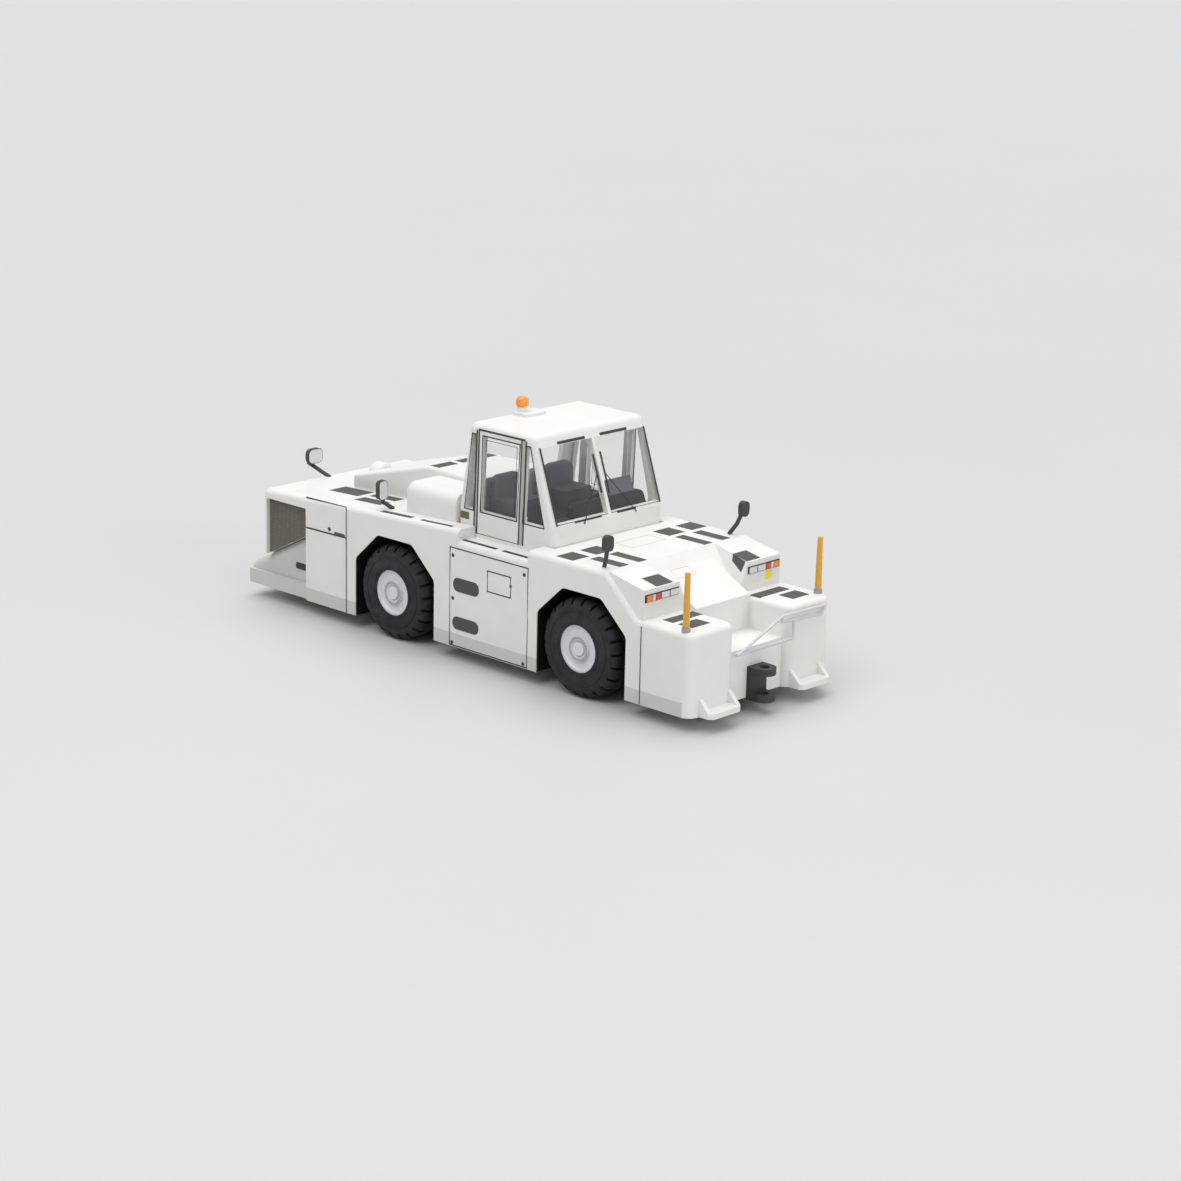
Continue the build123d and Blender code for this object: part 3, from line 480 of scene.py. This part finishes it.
# Hatches: height along x, then x and y of the corners
HATCHES = [
    (hood_z, [(13.4, -1.85), (13.4, -0.05), (14.2, 0.1), (14.2, -1.75)]),
    (flat(DECK_HEIGHT), [(7.65, -1.4), (7.65, 2.1), (9.4, 2.0), (9.4, -1.5)]),
]
hatch_paths = [([at(x, y, height(x)) for x, y in corners], True) for height, corners in HATCHES]
ribbon_tree("hatch line", ink("hatch_grey", colour(0.34, 0.34, 0.33))).grow(
    "hatch_outlines", path_carrier("hatch_paths", hatch_paths), "chassis",
    {"Width": HAIRLINE * MM, "Height": 2 * LINE_LIFT * MM})
BOARD_HEIGHT = 9.3
SLOT_MIDDLE = 7.1
SLOT_WIDTH = 0.36
# Board slots: x of both ends
BOARD_SLOTS = [(-2.75, 1.1), (1.75, 4.75)]
board_paths = [([at(x, side * SLOT_MIDDLE, BOARD_HEIGHT) for x in ends], False)
               for side in (-1, 1) for ends in BOARD_SLOTS]
ribbon_tree("board slot", ink("board_slot_ink")).grow(
    "running_board_slots", path_carrier("board_paths", board_paths), "chassis",
    {"Width": SLOT_WIDTH * MM, "Height": 2 * LINE_LIFT * MM})

# Base plate and screws: a black moulded plate closes the casting from below.
# Bright slotted screws, sunk flush, hold it.
dress("base_plate", ink("base_black", colour(0.03, 0.03, 0.03), 0.5))


def steel(name):
    """Turned steel with fine scratches."""
    metal = Finish(name)
    place = metal.coordinates()
    scratch = metal.noise(place, 22.0, 5.0)
    shade = metal.mix(scratch, colour(0.45, 0.45, 0.46), colour(0.62, 0.62, 0.62))
    return metal.close(Base_Color=shade, Metallic=1.0, Roughness=0.25 + 0.3 * scratch)


dress("base_screws", steel("screw_steel"))

# Wheels: black rubber tyres with grooved treads, pressed on pale hubs that turn with the axle.
# A ring of nuts is moulded on each hub and two thin ribs on each side wall.
HUB_FACE = 7.36
TYRE_FACE = 7.48
NUT_COUNT = 26
NUT_RING = 0.84
NUT_RADIUS, NUT_HEIGHT = 0.075, 0.1
RIB_RADII = (1.95, 2.75)
RIB_SIZE = 0.07
RIDGE_RADIUS = 0.81
RIDGE_SIZE = 0.17
RIDGE_SINK = 0.04
RING_STEPS = 72


def rubber(name):
    """Matte rubber with dust in its grain."""
    tyre = Finish(name)
    place = tyre.coordinates()
    dust = tyre.ramp(tyre.noise(place, 1.4, 5.0), 0.42, 0.8)
    grain = tyre.noise(place, 18.0, 3.0)
    shade = tyre.mix(dust * 0.6, colour(0.009, 0.009, 0.011), colour(0.042, 0.042, 0.047))
    return tyre.close(Base_Color=shade, Roughness=0.6 + 0.3 * grain, Normal=tyre.bump(grain, 0.35, 0.00005))


def hub_paint(name, deep, bright):
    """Pale paint on a turned hub, a little worn."""
    paint = Finish(name)
    place = paint.coordinates()
    mottle = paint.noise(place, 2.0, 4.0)
    return paint.close(Base_Color=paint.mix(mottle, deep, bright),
                       Roughness=0.35 + 0.2 * mottle, Normal=paint.bump(mottle, 0.15, 0.00005))


HUB_SHADES = (colour(0.66, 0.67, 0.72), colour(0.75, 0.75, 0.79))
NUT_SHADES = (colour(0.30, 0.30, 0.33), colour(0.42, 0.42, 0.45))
RIDGE_SHADES = (colour(0.42, 0.42, 0.45), colour(0.55, 0.55, 0.58))
nut_tree = Tree("hub nuts", {"Radius": NUT_RADIUS * MM, "Height": NUT_HEIGHT * MM})
nut_shape = nut_tree.node("GeometryNodeMeshCylinder", None, {
    "Vertices": 6, "Radius": nut_tree.source["Radius"], "Depth": nut_tree.source["Height"]})[0]
nut_turned = nut_tree.node("GeometryNodeTransform", None, {
    "Geometry": nut_shape, "Rotation": (math.pi / 2, 0.0, 0.0)})[0]
nut_ring = nut_tree.node("GeometryNodeInstanceOnPoints", None, {
    "Points": nut_tree.source["Geometry"], "Instance": nut_turned})[0]
nut_tree.close(nut_ring, hub_paint("nut_grey", *NUT_SHADES))
rib_tree = ribbon_tree("side wall rib", rubber("rib_rubber"))
ridge_tree = ribbon_tree("hub ridge", hub_paint("ridge_grey", *RIDGE_SHADES))


def wheel_ring(axle, side, face, radius):
    """Places round an axle, on a wheel's outer face."""
    turns = [2 * math.pi * step / RING_STEPS for step in range(RING_STEPS)]
    return [at(axle + radius * math.cos(turn), side * face, AXLE_HEIGHT + radius * math.sin(turn))
            for turn in turns]


for axle_name, axle in (("front", AXLE_PLACE), ("rear", -AXLE_PLACE)):
    nut_places = []
    rib_paths = []
    ridge_paths = []
    for side_name, side in (("left", 1), ("right", -1)):
        dress(f"{axle_name}_tyre_{side_name}", rubber(f"{axle_name}_rubber_{side_name}"))
        hub_finish = hub_paint(f"{axle_name}_hub_paint_{side_name}", *HUB_SHADES)
        dress(f"{axle_name}_hub_{side_name}", hub_finish)
        for index in range(NUT_COUNT):
            turn = 2 * math.pi * index / NUT_COUNT
            nut_places.append(at(axle + NUT_RING * math.cos(turn), side * HUB_FACE,
                                 AXLE_HEIGHT + NUT_RING * math.sin(turn)))
        rib_paths += [(wheel_ring(axle, side, TYRE_FACE, radius), True) for radius in RIB_RADII]
        ridge_paths.append((wheel_ring(axle, side, HUB_FACE - RIDGE_SINK, RIDGE_RADIUS), True))
    wheels = f"{axle_name}_wheels"
    nut_tree.grow(f"{axle_name}_hub_nuts", point_carrier("nut_places", nut_places), wheels, slot="hub_paint")
    rib_tree.grow(f"{axle_name}_tyre_ribs", path_carrier("rib_paths", rib_paths), wheels,
                  {"Width": RIB_SIZE * MM, "Height": RIB_SIZE * MM}, "tyre_rubber")
    ridge_tree.grow(f"{axle_name}_hub_ridges", path_carrier("ridge_paths", ridge_paths), wheels,
                    {"Width": RIDGE_SIZE * MM, "Height": RIDGE_SIZE * MM}, "hub_paint")
    dress(f"{axle_name}_axle", hub_paint(f"{axle_name}_axle_paint", *HUB_SHADES))

# Grilles and pintles: black moulded fittings, plugged into the casting.
# Each side opening has a fine woven mesh over its grille, and a dark latch below it.
GRILLE_FACE = 7.36
MESH_REAR, MESH_FRONT, MESH_TOP = -24.0, -19.45, 8.45
MESH_PITCH = 0.16
WIRE_SIZE = 0.06
RAMP_END, RAMP_TAIL, RAMP_SLOPE = -26.5, 2.8, 0.5
for node in ("rear_grille", "front_pintle", "rear_pintle"):
    dress(node, ink(f"{node}_black", colour(0.018, 0.018, 0.02), 0.45))
for node in ("side_grille_left", "side_grille_right"):
    dress(node, ink(f"{node}_dark", colour(0.05, 0.048, 0.04), 0.7))


def ramp_z(x):
    return RAMP_TAIL + RAMP_SLOPE * (x - RAMP_END)


def mesh_wires():
    """Upright and level wires of the woven mesh, cut off at the ramp below it."""
    wires = []
    x = MESH_REAR
    while x < MESH_FRONT:
        wires.append(((x, ramp_z(x)), (x, MESH_TOP)))
        x += MESH_PITCH
    z = MESH_TOP - MESH_PITCH / 2
    while z > ramp_z(MESH_REAR):
        ramp_x = (z - RAMP_TAIL) / RAMP_SLOPE + RAMP_END
        wires.append(((MESH_REAR, z), (min(MESH_FRONT, ramp_x), z)))
        z -= MESH_PITCH
    return wires


mesh_paths = [([at(x, side * GRILLE_FACE, z) for x, z in wire], False)
              for side in (-1, 1) for wire in mesh_wires()]
ribbon_tree("mesh wire", ink("mesh_wire", colour(0.17, 0.16, 0.13), 0.5)).grow(
    "side_grille_mesh", path_carrier("mesh_paths", mesh_paths), "chassis",
    {"Width": WIRE_SIZE * MM, "Height": WIRE_SIZE * MM})
RAMP_FACE = 7.1
# Latch on each side of the ramp: x low, x high, z low, z high, corner radius
LATCH = (-21.2, -19.8, 3.25, 3.75, 0.12)
LATCH_LIFT = 0.05
latch_rings = []
for side in (-1, 1):
    ring = [at(x, side * RAMP_FACE, z) for x, z in rounded(*LATCH)]
    latch_rings.append((ring, Vector((0, side, 0))))
plate_mesh("ramp_latches", latch_rings, LATCH_LIFT, ink("latch_black"))

# Cab: a white cast shell, plugged into the hull, with clear panes, printed seals and door strips.
# A dark moulded tub with seats, a dash and a steering wheel show through the panes.
CAB_HALF = 5.85
SEAL_WIDTH, SEAL_THICKNESS = 0.13, 0.04
PANE_LINE_WIDTH, PANE_LINE_THICKNESS = 0.05, 0.03
PANE_INSET = 0.08
STRIP_LIFT = 0.012
# Door pane, window seals and door strips: x and z of the corners
DOOR_PANE_LINE = [(-1.62, 11.62), (1.52, 11.62), (1.72, 16.8), (-1.45, 16.8)]
CAB_SEALS = [
    [(-1.95, 11.3), (1.85, 11.3), (2.1, 17.1), (-1.75, 17.1)],
    [(2.45, 11.3), (4.65, 11.3), (3.15, 17.1), (2.7, 17.1)],
    [(-3.6, 11.3), (-2.65, 11.3), (-2.4, 17.1), (-2.85, 17.1)],
]
DOOR_STRIPS = [
    [(2.05, 9.6), (2.5, 9.6), (2.72, 17.45), (2.27, 17.45)],
    [(-2.6, 9.6), (-2.3, 9.6), (-2.12, 17.45), (-2.34, 17.45)],
]


def clear_pane(name):
    """Clear moulded plastic with a faint film."""
    pane = Finish(name)
    place = pane.coordinates()
    film = pane.noise(place, 0.5, 2.0)
    shade = pane.mix(film, colour(0.62, 0.63, 0.63), colour(0.72, 0.73, 0.72))
    return pane.close(Base_Color=shade, Roughness=0.04 + 0.06 * film, Alpha=0.02 + 0.03 * film,
                      Specular_IOR_Level=0.2)


dress("cab_glazing", clear_pane("clear_plastic"))
DASH_REAR, DASH_TOP = 3.6, 12.5
SEAT_SHADES = (colour(0.085, 0.085, 0.098), colour(0.140, 0.140, 0.158))
DASH_SHADE = colour(0.007, 0.007, 0.008)


def trim(name):
    """Dark grey moulded seats and console, with the dash hood ahead of them in black."""
    plastic = Finish(name)
    place = plastic.coordinates()
    grain = plastic.noise(place, 12.0, 3.0)
    x, y, z = plastic.axes(place)
    dash = (x > at(DASH_REAR, 0, 0).x / MM) * (z < DASH_TOP)
    seat = plastic.mix(grain, *SEAT_SHADES)
    return plastic.close(Base_Color=plastic.mix(dash, seat, DASH_SHADE),
                         Roughness=0.55 + 0.3 * grain, Normal=plastic.bump(grain, 0.3, 0.00005))


dress("cab_interior", trim("seat_tub_grey"))
dress("steering_wheel", ink("steering_black"))
seal_ink = ink("seal_ink", colour(0.025, 0.025, 0.025))
# Door head and foot lines: x of both ends and z
DOOR_HEAD = (-2.2, 2.6, 17.5)
DOOR_FOOT = (-2.45, 2.1, 9.62)
FOOT_LINE_WIDTH, FOOT_LINE_THICKNESS = 0.05, 0.02


def level_line(side, x0, x1, z):
    """A level path along one side of the cab."""
    return [at(x0, side * CAB_HALF, z), at(x1, side * CAB_HALF, z)], False


seal_paths = []
sill_paths = []
strip_rings = []
for side in (-1, 1):
    seal_paths += [([at(x, side * CAB_HALF, z) for x, z in corners], True) for corners in CAB_SEALS]
    for corners in DOOR_STRIPS:
        strip_rings.append(([at(x, side * CAB_HALF, z) for x, z in corners], Vector((0, side, 0))))
        low_rear, low_front, top_front, top_rear = [at(x, side * CAB_HALF, z) for x, z in corners]
        seal_paths += [([low_rear, top_rear], False), ([low_front, top_front], False)]
    seal_paths.append(level_line(side, *DOOR_HEAD))
    sill_paths.append(level_line(side, *DOOR_FOOT))
ribbon_tree("window seal", seal_ink).grow(
    "side_window_seals", path_carrier("seal_paths", seal_paths), "chassis",
    {"Width": SEAL_THICKNESS * MM, "Height": SEAL_WIDTH * MM})
ribbon_tree("door foot line", seal_ink).grow(
    "door_foot_lines", path_carrier("sill_paths", sill_paths), "chassis",
    {"Width": FOOT_LINE_THICKNESS * MM, "Height": FOOT_LINE_WIDTH * MM})
pane_face = CAB_HALF - PANE_INSET
pane_paths = [([at(x, side * pane_face, z) for x, z in DOOR_PANE_LINE], True) for side in (-1, 1)]
ribbon_tree("pane line", seal_ink).grow(
    "door_pane_lines", path_carrier("pane_paths", pane_paths), "chassis",
    {"Width": PANE_LINE_THICKNESS * MM, "Height": PANE_LINE_WIDTH * MM})
plate_mesh("door_strips", strip_rings, STRIP_LIFT, ink("strip_grey", colour(0.33, 0.33, 0.315), 0.5))

# Windscreen: two clear panes that lean back, with printed edges and bars.
# Two thin black wipers, moulded with their arms, park beside the middle pillar.
SCREEN_FOOT, SCREEN_FOOT_HEIGHT = 5.75, 11.45
SCREEN_RUN, SCREEN_RISE = 2.25, 6.5
SCREEN_FACING = Vector((0.945, 0, 0.327))


def screen_x(z):
    """Forward face of the leaning windscreen."""
    return SCREEN_FOOT - (z - SCREEN_FOOT_HEIGHT) * SCREEN_RUN / SCREEN_RISE


SCREEN_EDGE_HEIGHTS = (11.62, 17.1)
SCREEN_EDGE_PLACES = (-5.56, 5.5)
screen_edges = [([at(screen_x(z), y, z) for z in SCREEN_EDGE_HEIGHTS], False) for y in SCREEN_EDGE_PLACES]
ribbon_tree("screen edge", seal_ink).grow(
    "windscreen_edges", path_carrier("screen_edges", screen_edges), "chassis",
    {"Width": SEAL_WIDTH * MM, "Height": SEAL_THICKNESS * MM})
# Dark bars on the windscreen, along y: y low, y high, z, height
SCREEN_BARS = [(-3.75, -0.85, 17.19, 0.2), (0.75, 3.65, 17.19, 0.2), (-3.74, -0.88, 11.62, 0.13),
               (0.8, 2.82, 11.64, 0.17), (-5.45, -0.2, 11.68, 0.04), (0.2, 5.4, 11.68, 0.04)]
BAR_LIFT = 0.02
bar_rings = []
for y0, y1, z, height in SCREEN_BARS:
    low, high = z - height / 2, z + height / 2
    ring = [at(screen_x(z), y, z) for y, z in ((y0, low), (y1, low), (y1, high), (y0, high))]
    bar_rings.append((ring, SCREEN_FACING))
plate_mesh("windscreen_bars", bar_rings, BAR_LIFT, seal_ink)
# Wipers: the blade's top and foot, then the arm's foot, as y and z
WIPERS = [((-0.46, 15.95), (-0.42, 13.2), (-2.81, 11.42)), ((0.34, 16.03), (0.38, 13.05), (2.74, 11.42))]
WIPER_LIFT = 0.06
BLADE_SIZE, ARM_SIZE = 0.1, 0.06
SPINDLE_BACK, SPINDLE_FRONT = Vector((0.12 * MM, 0, 0)), Vector((0.06 * MM, 0, 0))
blade_paths = []
arm_paths = []
for top, bottom, foot in WIPERS:
    blade = [at(screen_x(z) + WIPER_LIFT, y, z) for y, z in (top, bottom)]
    pivot = at(screen_x(foot[1]) + WIPER_LIFT, *foot)
    blade_paths.append((blade, False))
    arm_paths.append(([pivot, (blade[0] + blade[1]) / 2], False))
    arm_paths.append(([pivot - SPINDLE_BACK, pivot + SPINDLE_FRONT], False))
ribbon_tree("wiper blade", seal_ink).grow(
    "wiper_blades", path_carrier("blade_paths", blade_paths), "chassis",
    {"Width": BLADE_SIZE * MM, "Height": BLADE_SIZE * MM})
ribbon_tree("wiper arm", seal_ink).grow(
    "wiper_arms", path_carrier("arm_paths", arm_paths), "chassis",
    {"Width": ARM_SIZE * MM, "Height": ARM_SIZE * MM})

# Cab plaques: a small plain print in dark olive, low on the rear pillar of each side.
# Each is a thin plate with rounded corners, printed on the shell.
# Plaque: x low and high, z low and high, corner radius
PLAQUE = (-4.0, -3.1, 10.5, 11.05, 0.08)
PLAQUE_LIFT = 0.02
plaque_rings = []
for side in (-1, 1):
    ring = [at(x, side * CAB_HALF, z) for x, z in rounded(*PLAQUE)]
    plaque_rings.append((ring, Vector((0, side, 0))))
plate_mesh("cab_plaques", plaque_rings, PLAQUE_LIFT, ink("plaque_dark", colour(0.10, 0.085, 0.03), 0.5))

# Mirrors: black moulded heads on bent wire stalks, plugged into the decks.
# Each has a bright glass, let into the face that is turned to the cab.
def silver(name):
    """Mirror foil: bright, slightly rippled."""
    foil = Finish(name)
    ripple = foil.noise(foil.coordinates(), 1.2, 2.0)
    shade = foil.mix(ripple, colour(0.72, 0.73, 0.76), colour(0.85, 0.86, 0.88))
    return foil.close(Base_Color=shade, Metallic=0.35, Roughness=0.25 + 0.2 * ripple)


for node in ("front_mirror_left", "front_mirror_right", "side_mirror_right", "hitch_mirror"):
    dress(node, ink(f"{node}_black", colour(0.03, 0.03, 0.032), 0.5))
# Mirror glasses: face x, facing, middle y, middle z, width, height, corner radius
MIRROR_GLASSES = [
    (-25.35, 1, -1.4, rear_deck_z(-23.75) + 1.42, 1.5, 1.2, 0.4),
    (-11.7, 1, -6.55, rear_deck_z(-11.2) + 1.45, 0.9, 1.5, 0.26),
    (12.14, -1, -7.34, DECK_HEIGHT + 2.0, 0.82, 1.15, 0.3),
    (12.14, -1, 7.34, DECK_HEIGHT + 2.0, 0.82, 1.15, 0.3),
]
GLASS_RIM = 0.05
GLASS_LIFT = 0.02
glass_rings = []
for x, facing, y, z, width, height, corner in MIRROR_GLASSES:
    half_width, half_height = width / 2 - GLASS_RIM, height / 2 - GLASS_RIM
    outline = rounded(y - half_width, y + half_width, z - half_height, z + half_height, corner)
    glass_rings.append(([at(x, *place) for place in outline], Vector((facing, 0, 0))))
plate_mesh("mirror_glasses", glass_rings, GLASS_LIFT, silver("mirror_foil"))

# Beacon, marker poles and lamps: clear-coated orange and yellow plastic, plugged into the casting.
# The lamp lenses are printed in their own colours with a black surround.
def lens(name, deep, bright, foot=None):
    """Glossy tinted plastic; below foot it is bare grey."""
    gloss = Finish(name)
    place = gloss.coordinates()
    swirl = gloss.noise(place, 3.0, 2.0)
    shade = gloss.mix(swirl, deep, bright)
    if foot is not None:
        shade = gloss.mix(gloss.axes(place)[2] < foot, shade, COLLAR_GREY)
    return gloss.close(Base_Color=shade, Roughness=0.15 + 0.15 * swirl, Coat_Weight=0.5, Coat_Roughness=0.1)


COLLAR_GREY = colour(0.34, 0.33, 0.32)
COLLAR_TOP = BOX_HEIGHT + 0.4
BEACON_SHADES = (colour(0.85, 0.22, 0.005), colour(0.95, 0.36, 0.01))
POLE_SHADES = (colour(0.66, 0.30, 0.008), colour(0.76, 0.39, 0.02))
LAMP_ORANGE = (colour(0.85, 0.17, 0.01), colour(0.95, 0.28, 0.02))
LAMP_RED = (colour(0.62, 0.02, 0.02), colour(0.75, 0.05, 0.04))
LAMP_CLEAR = (colour(0.62, 0.63, 0.65), colour(0.78, 0.79, 0.80))
dress("beacon_lens", lens("beacon_orange", *BEACON_SHADES))
for side_name in ("left", "right"):
    dress(f"marker_pole_{side_name}", lens(f"pole_yellow_{side_name}", *POLE_SHADES, COLLAR_TOP))
    dress(f"lamp_cluster_{side_name}", ink(f"lamp_surround_{side_name}", colour(0.03, 0.03, 0.03), 0.4))
LAMP_FACE = 16.03
LAMP_END = 7.3
LAMP_LENGTH = 3.55
LAMP_LOW, LAMP_HIGH = 8.49, 8.92
# Lenses by colour: name, shades, then start and end of each from the outer end, as shares of the length
LENSES = [("orange", LAMP_ORANGE, ((0.035, 0.2),)), ("red", LAMP_RED, ((0.305, 0.44),)),
          ("clear", LAMP_CLEAR, ((0.215, 0.29), (0.47, 0.7), (0.73, 0.97)))]
# Tail lenses on the rear face by colour: y low and high, z low and high
TAIL_LENSES = {"red": ((6.62, 7.12, 7.0, 7.75),), "orange": ((6.62, 7.12, 6.15, 6.85),)}
TAIL_CORNER = 0.12
REAR_FACE = -24.5
LENS_LIFT = 0.02
for tint, shades, stretches in LENSES:
    lens_rings = []
    for side in (-1, 1):
        for start, end in stretches:
            outer, inner = (side * (LAMP_END - LAMP_LENGTH * share) for share in (start, end))
            corners = ((inner, LAMP_LOW), (outer, LAMP_LOW), (outer, LAMP_HIGH), (inner, LAMP_HIGH))
            lens_rings.append(([at(LAMP_FACE, y, z) for y, z in corners], Vector((1, 0, 0))))
    for side in (-1, 1):
        for y0, y1, z0, z1 in TAIL_LENSES.get(tint, ()):
            ring = [at(REAR_FACE, side * y, z) for y, z in rounded(y0, y1, z0, z1, TAIL_CORNER)]
            lens_rings.append((ring, Vector((-1, 0, 0))))
    plate_mesh(f"{tint}_lenses", lens_rings, LENS_LIFT, lens(f"lens_{tint}", *shades))
# Yellow patch under the left lamps: y low and high, z low and high, corner radius
PATCH = (5.72, 6.5, 7.68, 8.34, 0.06)
PATCH_LIFT = 0.012
POD_FRONT = 15.95
patch_ring = [at(POD_FRONT, y, z) for y, z in rounded(*PATCH)]
plate_mesh("yellow_patch", [(patch_ring, Vector((1, 0, 0)))], PATCH_LIFT,
           ink("patch_yellow", colour(0.80, 0.56, 0.02), 0.4))

# Stage: a table of pale paper, soft studio lamps and the camera of the photograph.
# The paper gets paler away from the part, so that its tone stays even under the lamps.
FLOOR_SIZE = 1.8
TABLE_SHADES = (colour(0.575, 0.575, 0.577), colour(0.595, 0.595, 0.597))
TABLE_FAR = colour(0.72, 0.72, 0.726)
# Millimetres from the part over which the paper gets paler
PALER_FROM, PALER_TO = 80.0, 700.0
floor_mesh = bpy.data.meshes.new("table")
reach = FLOOR_SIZE / 2
corners = [(-reach, -reach, 0), (reach, -reach, 0), (reach, reach, 0), (-reach, reach, 0)]
floor_mesh.from_pydata(corners, [], [(0, 1, 2, 3)])
table = bpy.data.objects.new("table", floor_mesh)
bpy.context.scene.collection.objects.link(table)
table_top = Finish("table_top")
table_place = table_top.coordinates()
table_tint = table_top.noise(table_place, 0.02, 2.0)
table_near = table_top.mix(table_tint, *TABLE_SHADES)
table_reach = table_top.node("ShaderNodeVectorMath", {"operation": "LENGTH"}, {0: table_place})[1]
table_shade = table_top.mix(table_top.ramp(table_reach, PALER_FROM, PALER_TO), table_near, TABLE_FAR)
floor_mesh.materials.append(table_top.close(Base_Color=table_shade, Roughness=0.6))

# World light: dim at the horizon and full overhead; camera, gloss and glass see a pale wall instead
HORIZON_GLOW = 0.12
ZENITH_GLOW = 1.0
WALL_GLOW = 0.83
WALL_TINT = colour(0.88, 0.88, 0.885)
world = bpy.data.worlds.new("studio")
world.use_nodes = True
sky = world.node_tree.nodes
join = world.node_tree.links.new
height = sky.new("ShaderNodeSeparateXYZ")
join(sky.new("ShaderNodeTexCoord").outputs["Generated"], height.inputs[0])
glow = sky.new("ShaderNodeMapRange")
glow.inputs["To Min"].default_value = HORIZON_GLOW
glow.inputs["To Max"].default_value = ZENITH_GLOW
join(height.outputs["Z"], glow.inputs["Value"])
rays = sky.new("ShaderNodeLightPath").outputs
seen = rays["Is Camera Ray"]
for ray in ("Is Glossy Ray", "Is Transmission Ray"):
    either = sky.new("ShaderNodeMath")
    either.operation = "MAXIMUM"
    join(seen, either.inputs[0])
    join(rays[ray], either.inputs[1])
    seen = either.outputs[0]
strength = sky.new("ShaderNodeMix")
join(seen, strength.inputs[0])
join(glow.outputs["Result"], strength.inputs[2])
strength.inputs[3].default_value = WALL_GLOW
join(strength.outputs[0], sky["Background"].inputs["Strength"])
sky["Background"].inputs["Color"].default_value = WALL_TINT
bpy.context.scene.world = world

# Studio lamps, all turned to a place in the part: name, place in metres, size, power
AIM = Vector((0, 0, 0.006))
LAMPS = [
    ("overhead", (-0.25, 0.30, 1.50), 1.50, 11.9),
    ("front_fill", (0.68, 0.03, 0.16), 0.45, 1.4),
    ("side_fill", (0.03, -0.42, 0.58), 0.45, 1.65),
]
for name, place, spread, power in LAMPS:
    lamp = bpy.data.lights.new(name, "AREA")
    lamp.size = spread
    lamp.energy = power
    holder = bpy.data.objects.new(name, lamp)
    holder.location = place
    holder.rotation_euler = (AIM - Vector(place)).to_track_quat("-Z", "Y").to_euler()
    bpy.context.scene.collection.objects.link(holder)

# Camera: turns in degrees, place in millimetres, focal length in pixels of the photograph
CAMERA_AZIMUTH = 43.06
CAMERA_HEIGHT_ANGLE = 15.99
CAMERA_ROLL = 1.35
CAMERA_PLACE = (143.01, -148.84, 63.76)
FOCAL_PIXELS = 2843.0
IMAGE_PIXELS = 1181.0
SENSOR = 36.0
NEAR_CLIP, FAR_CLIP = 0.01, 10.0
azimuth, rise, roll = (math.radians(turn) for turn in (CAMERA_AZIMUTH, CAMERA_HEIGHT_ANGLE, CAMERA_ROLL))
back = Vector((math.sin(azimuth) * math.cos(rise), -math.cos(azimuth) * math.cos(rise), math.sin(rise)))
level = Vector((math.cos(azimuth), math.sin(azimuth), 0))
upright = back.cross(level)
right = level * math.cos(roll) + upright * math.sin(roll)
up = upright * math.cos(roll) - level * math.sin(roll)
lens_data = bpy.data.cameras.new("photo_camera")
lens_data.sensor_width = SENSOR
lens_data.lens = FOCAL_PIXELS / IMAGE_PIXELS * SENSOR
lens_data.clip_start = NEAR_CLIP
lens_data.clip_end = FAR_CLIP
camera = bpy.data.objects.new("photo_camera", lens_data)
turn = Matrix((right, up, back)).transposed().to_4x4()
camera.matrix_world = Matrix.Translation(at(*CAMERA_PLACE)) @ turn
bpy.context.scene.collection.objects.link(camera)
bpy.context.scene.camera = camera
bpy.context.scene.view_settings.view_transform = "Standard"
